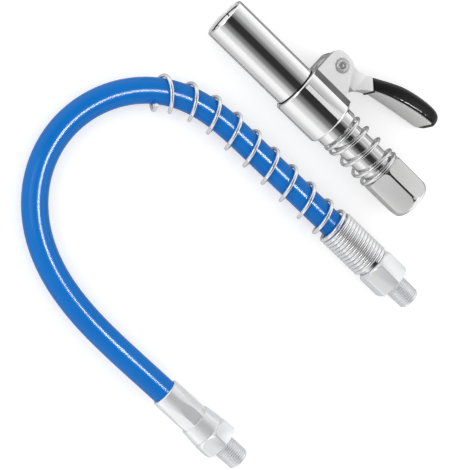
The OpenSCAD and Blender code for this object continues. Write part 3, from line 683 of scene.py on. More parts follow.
@dataclass(frozen=True)
class Studio:
    """Camera, lamps, white surround, floor, and cards that only reflections show."""

    toward_camera: tuple[float, float, float] = (0.2334, 0.19884, 0.95182)
    image_up: tuple[float, float, float] = (0.6686, -0.74351, -0.00869)
    # Metres from the part to the camera, and how much wider the frame is than the part
    distance: float = 0.8
    margin: float = 1.035
    sensor: float = 36.0
    floor_z: float = -11.01
    floor_shade: tuple[float, float] = (0.68, 0.71)
    floor_glow: float = 0.47
    sky: float = 0.85
    # Lamps: place and size in metres, and watts
    key: tuple[tuple[float, float, float], float, float] = ((0.75, 0.55, 0.75), 0.6, 2.6)
    fill: tuple[tuple[float, float, float], float, float] = ((-0.6, -0.45, 0.6), 0.8, 1.2)
    # Lamp that shows only in the gloss of chosen pieces
    streak_watts: float = 4.0
    streak_size: float = 0.18
    streak_distance: float = 0.6
    streak_lean: float = 0.10
    # Corners of the dark cards on the floor, and how dark they are
    coupler_base: tuple[float, float, float, float, float] = (-34.0, -66.0, 136.0, 44.0, 0.72)
    hose_base: tuple[float, float, float, float, float] = (-60.0, -8.0, 168.0, 168.0, 0.45)
    base_rise: float = 0.05
    base_fade: float = 26.0
    # Card between coupler and hose, and its brightness at two heights
    divider_y: float = 17.0
    divider_top: float = 10.0
    divider_low: tuple[float, float] = (-4.0, 0.60)
    divider_high: tuple[float, float] = (6.0, 1.0)
    # Bent card over the part in metres: radius, length and lower edge
    bent_card: tuple[float, float, float] = (0.9, 3.0, 0.02)
    # Places from the hose's side over the top to the lever's side, and how far the card is gone there
    fade_stops: Pairs = (
        (0.03, 1.0), (0.18, 0.66), (0.31, 0.20), (0.42, 0.02), (0.56, 0.02), (0.63, 0.22), (0.76, 0.55),
        (0.97, 1.0))
    felt_shine: float = 0.012

    def axes(self) -> tuple[Vector, Vector, Vector]:
        """Find the camera's axes.

        Returns:
            Image right, image up and the way to the camera, as unit vectors.
        """
        toward = Vector(self.toward_camera).normalized()
        right = Vector(self.image_up).cross(toward).normalized()
        return right, toward.cross(right), toward

    def camera(self) -> None:
        """Make the camera at the photograph's angle."""
        right, up, toward = self.axes()
        points = [vertex.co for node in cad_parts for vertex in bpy.data.objects[node].data.vertices]
        across, along = [right.dot(p) for p in points], [up.dot(p) for p in points]
        middle = (right * (min(across) + max(across)) + up * (min(along) + max(along))) / 2
        span = max(max(across) - min(across), max(along) - min(along)) * self.margin
        Bench.clear()
        bpy.ops.object.camera_add()
        camera = bpy.context.object
        camera.name = "product_camera"
        camera.data.sensor_width = self.sensor
        camera.data.lens = self.sensor * self.distance / span
        camera.data.clip_start, camera.data.clip_end = 0.05, 10.0
        camera.matrix_world = Matrix.Translation(middle + toward * self.distance) @ Matrix(
            (right, up, toward)).transposed().to_4x4()
        bpy.context.scene.camera = camera

    @staticmethod
    def seen_level(wiring: Wiring, unseen: float, seen: float) -> Socket:
        """Level for what the camera and the reflections see, and another for the light on matt surfaces.

        Args:
            wiring: The wiring that it is made in.
            unseen: The level for the light on matt surfaces.
            seen: The level for camera, glossy and transmission rays.

        Returns:
            The socket with the level.
        """
        rays = wiring.add("LightPath").outputs
        direct = rays["Is Camera Ray"]
        for kind in ("Is Glossy Ray", "Is Transmission Ray"):
            direct = wiring.out("Math", {0: direct, 1: rays[kind]}, operation="MAXIMUM")
        return wiring.out("MapRange", {"To Min": unseen, "To Max": seen, "Value": direct})

    def world(self) -> None:
        """White surround for the camera and reflections, softer light on matt surfaces."""
        world = bpy.data.worlds.new("white_room")
        bpy.context.scene.world = world
        world.use_nodes = True
        wiring = Wiring(world.node_tree)
        wiring.feed(world.node_tree.nodes["Background"], {
            "Color": WHITE, "Strength": self.seen_level(wiring, self.sky, 1.0)})

    @staticmethod
    def lamp(name: str, place: tuple[float, float, float], size: float, watts: float) -> Piece:
        """Add a square lamp that looks at the part.

        Args:
            name: The lamp's name.
            place: Where it stands, in metres.
            size: Its side in metres.
            watts: Its power.

        Returns:
            The lamp.
        """
        Bench.clear()
        bpy.ops.object.light_add(type="AREA")
        lamp = bpy.context.object
        lamp.name = name
        lamp.data.size = size
        lamp.data.energy = watts
        spot = Vector(place)
        turn = (MIDDLE - spot).to_track_quat("-Z", "Y").to_matrix().to_4x4()
        lamp.matrix_world = Matrix.Translation(spot) @ turn
        return lamp

    def streak_lamp(self, *names: str) -> None:
        """Add the round lamp whose thin streak runs along glossy pieces, and lights nothing else.

        Args:
            *names: The pieces that show it.
        """
        right, _, toward = self.axes()
        way = (Vector((-toward.x, -toward.y, toward.z)) - right * self.streak_lean).normalized()
        lamp = self.lamp("streak_lamp", tuple(MIDDLE + way * self.streak_distance), self.streak_size,
                         self.streak_watts)
        lamp.data.shape = "DISK"
        lamp.visible_camera = lamp.visible_diffuse = False
        shown = bpy.data.collections.new("pieces_with_streak")
        for name in names:
            shown.objects.link(bpy.data.objects[name])
        lamp.light_linking.receiver_collection = shown

    def floor(self) -> None:
        """White floor that keeps the part's shadow."""
        Bench.clear()
        bpy.ops.mesh.primitive_plane_add(size=6.0, location=(0.06, 0.05, self.floor_z * MM))
        floor = Bench.named("white_floor")
        paper = bpy.data.materials.new("white_paper")
        paper.use_nodes = True
        wiring = Wiring(paper.node_tree)
        shades = {socket: (shade, shade, shade, 1.0) for socket, shade in zip("AB", self.floor_shade)}
        grain = wiring.out("TexNoise", {"Scale": 60.0})
        wiring.feed(paper.node_tree.nodes["Principled BSDF"], {
            "Roughness": 0.9, "Specular IOR Level": 0.1, "Emission Color": WHITE,
            "Base Color": wiring.out("Mix", {"Factor": grain, **shades}, data_type="RGBA"),
            "Emission Strength": self.seen_level(wiring, 0.0, self.floor_glow)})
        floor.data.materials.append(paper)

    def felt(self, card: Piece) -> tuple[Wiring, Any, Node, Node]:
        """Cover a card with black felt that can shine or turn see-through, and let only reflections show it.

        Args:
            card: The card.

        Returns:
            The felt's wiring, its coordinates by axis, the node of its brightness, and the node whose Fac
            goes from 0, there, to 1, gone.
        """
        felt = bpy.data.materials.new(f"{card.name}_felt")
        felt.use_nodes = True
        nodes, wiring = felt.node_tree.nodes, Wiring(felt.node_tree)
        nodes.remove(nodes["Principled BSDF"])
        shine = wiring.add("Emission", {"Strength": self.felt_shine})
        mix = wiring.add("MixShader", {"Fac": 0.0, 1: shine.outputs["Emission"],
                                       2: wiring.out("BsdfTransparent")})
        wiring.feed(nodes["Material Output"], {"Surface": mix.outputs["Shader"]})
        card.data.materials.append(felt)
        card.visible_camera = card.visible_diffuse = card.visible_shadow = False
        return wiring, wiring.add("SeparateXYZ", {"Vector": wiring.place()}).outputs, shine, mix

    def dark_card(self) -> None:
        """Dark card bent over the part, which bright metal shows as a soft band along its middle."""
        radius, length, edge = self.bent_card
        Bench.clear()
        bpy.ops.mesh.primitive_cylinder_add(vertices=96, radius=radius, depth=length, end_fill_type="NOTHING")
        card = Bench.named("dark_card")
        set_down(card, turned(90, "Y"))
        Bench.edit()
        bpy.ops.mesh.bisect(plane_co=(0, 0, edge), plane_no=(0, 0, 1), clear_inner=True)
        bpy.ops.object.mode_set(mode="OBJECT")
        wiring, place, _, mix = self.felt(card)
        round_x = wiring.out("Math", {0: place["Y"], 1: place["Z"]}, operation="ARCTAN2")
        turn = wiring.out("MapRange", {"From Min": math.pi / 2, "From Max": -math.pi / 2, "Value": round_x})
        fade = wiring.add("ValToRGB", {"Fac": turn})
        fade.color_ramp.interpolation = "EASE"
        stops = fade.color_ramp.elements
        stops[0].position, stops[1].position = self.fade_stops[0][0], self.fade_stops[-1][0]
        for position, _ in self.fade_stops[1:-1]:
            stops.new(position)
        for stop, (_, level) in zip(stops, self.fade_stops):
            stop.color = (level, level, level, 1.0)
        wiring.feed(mix, {"Fac": fade.outputs["Color"]})

    def base_card(self, name: str, region: tuple[float, float, float, float, float]) -> None:
        """Dark card just over the floor, which bright metal shows as a thin dark line along its edges.

        Args:
            name: The card's name.
            region: Its lower corner, its upper corner and how dark it is.
        """
        low, high, dark = Vector(region[0:2]), Vector(region[2:4]), region[4]
        middle, half = (low + high) / 2, (high - low) / 2
        card = Bench.unit(name, True, moved(middle.x, middle.y, self.floor_z + self.base_rise)
                          @ sized(2 * half.x, 2 * half.y, 1.0))
        wiring, place, _, mix = self.felt(card)
        inside = {}
        for number, (axis, centre, reach) in enumerate(zip("XY", middle, half)):
            side = wiring.out("Math", {0: place[axis], 1: centre * MM}, operation="SUBTRACT")
            apart = wiring.out("Math", {0: side}, operation="ABSOLUTE")
            inside[number] = wiring.out("MapRange", {
                "From Min": (reach - self.base_fade) * MM, "From Max": reach * MM, "To Min": 1.0,
                "To Max": 0.0, "Value": apart}, interpolation_type="SMOOTHSTEP")
        both = wiring.out("Math", inside, operation="MULTIPLY")
        gone = wiring.out("MapRange", {"To Min": 1.0, "To Max": 1.0 - dark, "Value": both})
        wiring.feed(mix, {"Fac": gone})

    def divider_card(self) -> None:
        """Pale upright card between coupler and hose, so that neither shows in the other."""
        start, _, end, _, _ = self.coupler_base
        low, high = self.floor_z, self.divider_top
        middle = moved((start + end) / 2, self.divider_y, (low + high) / 2)
        card = Bench.unit("divider_card", True,
                          middle @ turned(90, "X") @ sized(end - start, high - low, 1.0))
        wiring, place, shine, _ = self.felt(card)
        rise: Feeds = {"Value": place["Z"]}
        for limit, (height, level) in {"Min": self.divider_low, "Max": self.divider_high}.items():
            rise |= {f"From {limit}": height * MM, f"To {limit}": level}
        wiring.feed(shine, {"Strength": wiring.out("MapRange", rise, interpolation_type="SMOOTHSTEP")})

    def build(self) -> None:
        """Set up the whole studio."""
        self.camera()
        self.world()
        self.floor()
        self.dark_card()
        self.base_card("coupler_base_card", self.coupler_base)
        self.base_card("hose_base_card", self.hose_base)
        self.divider_card()
        self.lamp("key_lamp", *self.key)
        self.lamp("fill_lamp", *self.fill)
        bpy.context.scene.view_settings.view_transform = "Standard"


# Hose and the pieces on it

@dataclass(frozen=True)
class HoseRoute:
    """Centre line of the hose on the table, a uniform cubic spline over these points."""

    points: tuple[tuple[float, float, float], ...] = (
        (-4, 30, -2.4), (6.7, 30, -2.4), (17.4, 30, -2.4), (28.1, 30, -2.4), (38.8, 30, -2.5),
        (49.5, 30, -2.6), (60.1, 30, -2.7), (70.8, 30, -2.8), (81.5, 30.2, -2.9), (92.1, 31.5, -3.1),
        (102.3, 34.8, -3.1), (111.4, 40.4, -3.3), (118.9, 48, -3.7), (124.4, 57.1, -4.2),
        (127.7, 67.2, -4.7), (128.6, 77.8, -5.1), (126.9, 88.4, -5.3), (122.8, 98.2, -5.4),
        (116.5, 106.8, -5.4), (108.5, 113.8, -5.4), (99.2, 119.1, -5.2), (89.2, 122.8, -4.8),
        (78.7, 125.1, -4.1), (68.1, 126.4, -3.4), (57.5, 126.9, -2.8), (46.8, 127, -2.5),
        (36.1, 127, -2.4), (25.4, 127, -2.4), (14.7, 127, -2.4), (4, 127, -2.4))
    # Part of an index on each side of a place, between which the route's direction is taken
    reach: float = 0.05

    def at(self, u: float) -> Vector:
        """Find a point of the route.

        Args:
            u: Its fractional index.

        Returns:
            The point.
        """
        p = [Vector(q) for q in self.points]
        last = len(p) - 1
        i = max(0, min(math.floor(u), last - 1))
        before = 2 * p[0] - p[1] if i == 0 else p[i - 1]
        after = 2 * p[last] - p[last - 1] if i == last - 1 else p[i + 2]
        t = u - i
        return ((1 - t) ** 3 * before + (3 * t ** 3 - 6 * t ** 2 + 4) * p[i]
                + (-3 * t ** 3 + 3 * t ** 2 + 3 * t + 1) * p[i + 1] + t ** 3 * after) / 6

    def sides(self, u: float) -> tuple[Vector, Vector]:
        """Find the ways square to the route at one of its points.

        Args:
            u: The point's fractional index.

        Returns:
            The way to its side, level, and the way up.
        """
        tangent = (self.at(u + self.reach) - self.at(u - self.reach)).normalized()
        side = Vector((0, 0, 1)).cross(tangent).normalized()
        return side, tangent.cross(side)

    def index(self, distance: float) -> float:
        """Find the place at a distance along the route.

        Args:
            distance: The distance from its start.

        Returns:
            The place's fractional index.
        """
        run = 0.0
        for i in range(len(self.points) - 1):
            step = (Vector(self.points[i + 1]) - Vector(self.points[i])).length
            if run + step > distance or i == len(self.points) - 2:
                return i + (distance - run) / step
            run += step
        return float(len(self.points) - 1)


@dataclass
class HoseGroup:
    """The hose with its ferrules, fittings and guard spring."""

    route: HoseRoute = field(default_factory=HoseRoute)
    hose_d: float = 10.8
    length: float = 310.0
    flats: float = 15.0
    hex_a: float = 12.0
    hex_b: float = 7.6
    tail_a: float = 20.0
    tail_b: float = 22.0
    # Trim of the hexagon's corners, then length and drop of its bevels at the thread and at the tail
    corner_trim: float = 0.2
    thread_bevel: tuple[float, float] = (0.6, 0.9)
    tail_bevel: tuple[float, float] = (1.8, 1.4)
    thread_d: float = 9.7
    thread_root_d: float = 8.5
    thread_length: float = 10.8
    pitch: float = 0.907
    # Length and drop of the chamfer at the thread's end
    stub_chamfer: tuple[float, float] = (0.35, 0.95)
    # Start, end and depth of the groove between thread and hexagon
    relief: tuple[float, float, float] = (1.2, 0.9, 0.2)
    bore_d: float = 3.6
    bore_bevel: float = 1.5
    tail_d: float = 6.0
    # Number of barbs on the tail, those that its length would hold, a barb's run and drop, the ends' drops
    barbs: int = 4
    barb: tuple[float, float, float] = (4.6, 0.15, 0.35)
    tail_drops: tuple[float, float] = (0.3, 0.6)
    # How far joined solids reach into each other
    overlap: float = 0.5
    ferrule_d: float = 12.6
    wire: float = 1.6
    guard_d: float = 15.4
    guard_fit: float = 0.17
    guard_start: float = 0.3
    closed_turns: float = 12.5
    open_turns: float = 10.0
    guard_pitch: float = 10.4
    # Turns over which the open pitch and the open diameter are reached
    pitch_ramp: float = 2.0
    width_ramp: float = 1.5
    lean: float = 0.45
    end_wrap: float = 134.0
    end_lift: float = 0.9
    # Part of an index that the curled end goes on along the route
    end_advance: float = 0.04
    turn_steps: int = 48
    end_steps: int = 16

    def hose(self) -> Piece:
        """Model the hose as a round curve on its route.

        Returns:
            The hose.
        """
        path = [Vector(place) for place in self.route.points]
        hose = Bench.curve("blue_hose_tube", "NURBS", path, self.hose_d, roundness=10)
        hose.data.resolution_u = 8
        line = hose.data.splines[0]
        line.order_u = 4
        line.use_endpoint_u = True
        return hand_over(hose, Body.HOSE.value, BLUE_HOSE, "hose")

    def fitting(self, name: str, hex_length: float, tail: float) -> Piece:
        """Model a fitting with its hexagon's inner face at the origin and its thread towards -X.

        Args:
            name: The piece's name.
            hex_length: Length of the hexagon.
            tail: Length of the tail inside the hose.

        Returns:
            The fitting without its thread's ridge.
        """
        face, end = -hex_length, -hex_length - self.thread_length
        corner = corner_radius(self.flats) - self.corner_trim
        (near, near_drop), (far, far_drop) = self.thread_bevel, self.tail_bevel
        body = Bench.hex_bar(name, self.flats, face, 0, 90)
        crown = Bench.lathe("crown", [(face, 0), (face, corner - near_drop), (face + near, corner),
                                      (-far, corner), (0, corner - far_drop), (0, 0)], steps=144)
        Bench.join_solid(body, crown, "INTERSECT")
        root, (length, drop), (start, stop, depth) = self.thread_root_d / 2, self.stub_chamfer, self.relief
        stub = Bench.lathe("stub", [
            (end, 0), (end, self.thread_d / 2 - drop), (end + length, root), (face - start, root),
            (face - stop, root - depth), (face + self.overlap, root - depth), (face + self.overlap, 0)],
            steps=96)
        Bench.join_solid(body, stub, "UNION")
        outer, bore, (held, run, drop) = self.tail_d / 2, self.bore_d / 2, self.barb
        barbs: Profile = [(-self.overlap, 0), (-self.overlap, outer - self.tail_drops[0])]
        for k in range(1, self.barbs + 1):
            barbs += [(tail * (k - run) / held, outer - drop), (tail * k / held, outer)]
        barbs += [(tail, outer - self.tail_drops[1]), (tail, 0)]
        Bench.join_solid(body, Bench.lathe("tail", barbs, steps=64), "UNION")
        drill = Bench.lathe("drill", [
            (end - 1, 0), (end - 1, bore + self.bore_bevel), (end + self.bore_bevel - 1, bore),
            (tail + 1, bore), (tail + 1, 0)], steps=64)
        Bench.join_solid(body, drill, "DIFFERENCE")
        Bench.soften(body, width=0.12, segments=2, least=30, smooth=32)
        return body

    def fitting_thread(self, name: str, hex_length: float) -> Piece:
        """Model the ridge of a fitting's thread, which fades at both ends.

        Args:
            name: The piece's name.
            hex_length: Length of the fitting's hexagon.

        Returns:
            The ridge.
        """
        sink, floor, drop, fade_slope, fade_from = 0.08, 0.25, 0.9, 1.6, 1.5
        end, foot = -hex_length - self.thread_length, self.thread_root_d / 2 - sink
        crest = self.thread_d / 2

        def limit(x: float, radius: float) -> float:
            """Radius kept at a place, under the chamfer and before the hexagon."""
            return min(radius, max(foot - floor, min(crest, crest - drop + (x - end))),
                       max(foot, crest - fade_slope * max(0.0, x + hex_length + fade_from)))

        return Bench.thread(name, foot, crest, end + 0.3, -hex_length - self.relief[1], self.pitch, limit)

    def guard_run(self, over: float) -> float:
        """Find how far the guard spring's wire has gone along the hose.

        Args:
            over: Its turns beyond the closed ones, below 0 in these.

        Returns:
            The advance.
        """
        closed_pitch = self.wire + SPRING_GAP
        gain, ramp = self.guard_pitch - closed_pitch, self.pitch_ramp
        run = closed_pitch * (self.closed_turns + min(over, ramp))
        if over < 0:
            return run
        if over < ramp:
            return run + gain * over * over / (2 * ramp)
        return run + gain * ramp / 2 + self.guard_pitch * (over - ramp)

    def guard_path(self) -> list[Vector]:
        """Lay the guard spring's wire, closed over the ferrule, then open, its end curled over the hose.

        Returns:
            The wire's centres.
        """
        closed_r = self.ferrule_d / 2 + self.wire / 2 + self.guard_fit
        open_r = (self.guard_d - self.wire) / 2
        path = []
        for i in range(round(self.turn_steps * (self.closed_turns + self.open_turns)) + 1):
            turn = i / self.turn_steps
            over = turn - self.closed_turns
            u = self.route.index(self.guard_run(over) + self.wire / 2 + self.guard_start)
            side, up = self.route.sides(u)
            opening = min(1.0, max(0.0, over) / self.width_ramp)
            radius = closed_r + (open_r - closed_r) * opening
            angle = math.tau * turn + math.pi / 2
            outward = math.cos(angle) * side + math.sin(angle) * up
            path.append(self.route.at(u) + self.lean * opening * side + radius * outward)
        for i in range(1, self.end_steps + 1):
            part = i / self.end_steps
            bend = angle + math.radians(self.end_wrap) * part
            outward = math.cos(bend) * side + math.sin(bend) * up
            path.append(self.route.at(u + self.end_advance * part) + self.lean * side
                        + (open_r + self.end_lift * part * part) * outward)
        return path

    def build(self) -> None:
        hose = self.hose()
        near, far = Vector(self.route.points[0]) * MM, Vector(self.route.points[-1]) * MM
        for end, hex_length, tail, place in (("a", self.hex_a, self.tail_a, near),
                                             ("b", self.hex_b, self.tail_b, far)):
            body = self.fitting(f"hose_end_{end}", hex_length, tail)
            ridge = self.fitting_thread(f"hose_end_thread_{end}", hex_length)
            for piece in (body, ridge):
                set_down(piece, Matrix.Translation(place))
            hand_over(body, Body.HOSE.value, NICKEL, f"fitting_{end}")
            hand_over(ridge, Body.HOSE.value, NICKEL)
        ferrule = Bench.copy_of("ferrule_b", "crimped_ferrule")
        Bench.soften(ferrule, width=0.1, segments=2, least=8, smooth=40)
        hand_over(ferrule, Body.HOSE.value, NICKEL, "ferrule_b")
        guard = Bench.wire("guard_spring_wire", self.guard_path(), self.wire, sides=14)
        hand_over(guard, Body.HOSE.value, GUARD_WIRE, "guard_spring")


# Coupler

@dataclass
class SleeveGroup:
    """Barrel, bush, collar with its ears, and the rivet on which the lever turns."""

    collar_x: float = 48.4
    mouth_x: float = 110.4
    barrel_d: float = 18.6
    lip: float = 0.8
    bore_d: float = 15.0
    spigot_d: float = 16.8
    shelf_x: float = 54.5
    neck_d: float = 12.8
    mouth_d: float = 15.8
    cone_x: float = 101.5
    cone_slope: float = 15.0
    neck_length: float = 5.5
    neck_taper: float = 1.5
    # Depth behind the front and widening at the mouth's softened edge
    mouth_edge: Pairs = ((0.0, 0.35), (0.12, 0.12), (0.4, 0.0))
    # Depth of the lit rim inside the mouth; behind it the bore gets painted shade
    lit_depth: float = 1.0
    # Start, width and depth of the groove in front of the collar
    groove: tuple[float, float, float] = (69.6, 0.55, 0.3)
    # Middle and size of the slot that the lever's toe goes through
    slot_place: tuple[float, float, float] = (61.8, -8.275, 0.0)
    slot_size: tuple[float, float, float] = (11.9, 9.05, 6.0)
    collar_d: float = 22.0
    fairing_slope: float = 35.7
    pivot: tuple[float, float] = (61.8, 18.4)
    ear_face: float = 6.3
    pin_d: float = 4.0
    head_d: float = 6.6
    # Height beyond the ear and what the radius lacks, on the rivet's lower and upper head
    foot_edge: Pairs = ((0.8, 0.4), (0.5, 0.08), (0.1, 0.0))
    head_edge: Pairs = ((0.0, 0.05), (0.14, 0.0), (0.36, 0.12))
    # Height of the rolled ring on the upper head, its middle's radius, and how thick and wide it is
    roll: tuple[float, float, float, float] = (0.42, 1.93, 0.38, 0.42)
    # Depth below the ear and radius in the rivet's hollow
    hollow: Pairs = ((0.3, 1.45), (0.9, 0.93), (1.25, 0.375), (1.3, 0.0))

    def barrel(self) -> Piece:
        """Model the barrel with its rolled lip and closing cone.

        Returns:
            The barrel.
        """
        outer, mouth, bore, neck = (d / 2 for d in (self.barrel_d, self.mouth_d, self.bore_d, self.neck_d))
        start, width, depth = self.groove
        front, neck_end = self.mouth_x, self.cone_x - self.neck_length
        shell = Bench.lathe("barrel_shell", [
            (self.collar_x, self.spigot_d / 2), (self.collar_x, outer), (start, outer),
            (start, outer - depth), (start + width, outer - depth), (start + width, outer),
            *arc(front - self.lip, outer - self.lip, self.lip, self.lip, 90, 0, 10),
            *((front - back, mouth + more) for back, more in self.mouth_edge),
            (front - self.lit_depth, mouth),
            (self.cone_x + (mouth - neck) / math.tan(math.radians(self.cone_slope)), mouth),
            (self.cone_x, neck), (neck_end, neck), (neck_end - self.neck_taper, bore), (self.shelf_x, bore),
            (self.shelf_x, self.spigot_d / 2)], steps=160)
        slot = Bench.unit("toe_slot", False, moved(*self.slot_place) @ sized(*self.slot_size))
        Bench.join_solid(shell, slot, "DIFFERENCE")
        Bench.smooth(shell, 20)
        set_down(shell, ROLL)
        return shell

    def shade_barrel(self, barrel: Piece) -> None:
        """Paint shade on the barrel's bore and its groove with a near-black finish, and give the lit rim
        inside its mouth a satin one.

        Args:
            barrel: The barrel.
        """
        lit_x = self.mouth_x - self.lit_depth
        start, width, _ = self.groove

        def inward(centre: Vector, normal: Vector) -> bool:
            """Face that looks to the axis."""
            return normal.y * centre.y + normal.z * centre.z < -0.5 * math.hypot(centre.y, centre.z)

        def in_groove(centre: Vector) -> bool:
            """Face of the groove."""
            return (start - 0.1 < centre.x < start + width + 0.1
                    and self.bore_d / 2 + 0.3 < math.hypot(centre.y, centre.z) < self.barrel_d / 2 - 0.1)

        SATIN_CHROME.dress_faces(barrel, lambda centre, normal: inward(centre, normal) and centre.x > lit_x)
        # Painted shade on the bore behind the mouth's lit rim and on the groove
        BORE_PAINTED_SHADE.dress_faces(barrel, lambda centre, normal: in_groove(centre) or (
            inward(centre, normal) and centre.x < lit_x))

    def dress_flats(self, collar: Piece) -> None:
        """Give the flat sides of the collar's ears their satin finish, and paint shade on the flats of its
        fairing with a dark finish.

        Args:
            collar: The collar.
        """
        rise, run = math.sin(math.radians(self.fairing_slope)), math.cos(math.radians(self.fairing_slope))

        def on_ear(centre: Vector, normal: Vector) -> bool:
            """Outer flat of an ear."""
            return abs(normal.dot(ACROSS)) > 0.995 and abs(centre.dot(ACROSS)) > 0.95 * self.ear_face

        def on_fairing(centre: Vector, normal: Vector) -> bool:
            """Flat of the fairing between the collar and an ear."""
            sloped = abs(normal.dot(OUTWARD) - rise) < 0.02 and abs(abs(normal.dot(ACROSS)) - run) < 0.02
            return sloped and math.hypot(centre.dot(ACROSS), centre.dot(OUTWARD)) > self.collar_d / 2 + 0.2

        SATIN_CHROME.dress_faces(collar, on_ear)
        # Painted shade on the fairing's flats
        FAIRING_PAINTED_SHADE.dress_faces(collar, on_fairing)

    def rivet(self) -> Piece:
        """Model the semi-tubular rivet with a rolled ring on its upper head.

        Returns:
            The rivet.
        """
        head, pin, face = self.head_d / 2, self.pin_d / 2, self.ear_face
        height, middle, thick, wide = self.roll
        rivet = Bench.lathe("pivot_rivet", [
            (-face - self.foot_edge[0][0], 0), *((-face - x, head - less) for x, less in self.foot_edge),
            (-face, pin), (face, pin), *((face + x, head - less) for x, less in self.head_edge),
            (face + height, middle + wide), *arc(face + height, middle, thick, thick, 90, -90, 10),
            *((face - x, radius) for x, radius in self.hollow)], steps=72)
        Bench.smooth(rivet, 40)
        set_down(rivet, ROLL @ (moved(self.pivot[0], -self.pivot[1], 0) @ turned(-90, "Y")))
        return rivet

    def build(self) -> None:
        """Build the sleeve group."""
        sleeve = Body.SLEEVE.value
        self.shade_barrel(hand_over(self.barrel(), sleeve, CHROME, "barrel"))
        collar = Bench.copy_of("collar", "collar_with_ears")
        Bench.soften(collar, width=0.25, segments=3, least=28, smooth=30)
        self.dress_flats(hand_over(collar, sleeve, CHROME, "collar"))
        hand_over(self.rivet(), sleeve, RIVET_STEEL, "pivot_pin")
        CHROME.dress(bpy.data.objects["rear_bush"])


@dataclass
class LeverGroup:
    """Bent metal lever and the black grip over its paddle."""

    voxel: float = 0.3
    paddle_x: float = 44.5
    edge: tuple[float, float] = (44.3, 20.75)
    band_size: tuple[float, float, float] = (0.9, 0.7, 10.4)
    band_slope: float = 31.0

    def under_paddle(self, centre: Vector, normal: Vector) -> bool:
        """Face of the paddle that looks to the stem."""
        return normal.dot(-OUTWARD) > 0.7 and centre.x < self.paddle_x

    def grip(self) -> Piece:
        """Model the cover over the paddle, with its edges rounded away.

        Returns:
            The grip.
        """
        grip = Bench.copy_of("lever_grip", "grip_cover")
        Bench.modify(grip, "REMESH", mode="VOXEL", voxel_size=self.voxel * MM, use_smooth_shade=True)
        Bench.modify(grip, "SMOOTH", factor=0.5, iterations=14)
        return grip

    def band(self) -> Piece:
        """Model the grip's thin edge that goes round under the lever.

        Returns:
            The band.
        """
        band = Bench.unit("grip_edge_band", False, ROLL @ moved(self.edge[0], -self.edge[1], 0)
                          @ turned(self.band_slope, "Z") @ sized(*self.band_size))
        Bench.soften(band, width=0.25, segments=3, least=30, smooth=60)
        return band

    def build(self) -> None:
        """Build the lever and its grip."""
        blade = Bench.copy_of("lever", "lever_blade")
        Bench.soften(blade, width=0.3, segments=3, least=30, smooth=36)
        hand_over(blade, Body.LEVER.value, SATIN_CHROME, "lever")
        PADDLE_STEEL.dress_faces(blade, self.under_paddle)
        hand_over(self.grip(), Body.LEVER.value, BLACK_GRIP, "lever_grip")
        hand_over(self.band(), Body.LEVER.value, BLACK_GRIP)


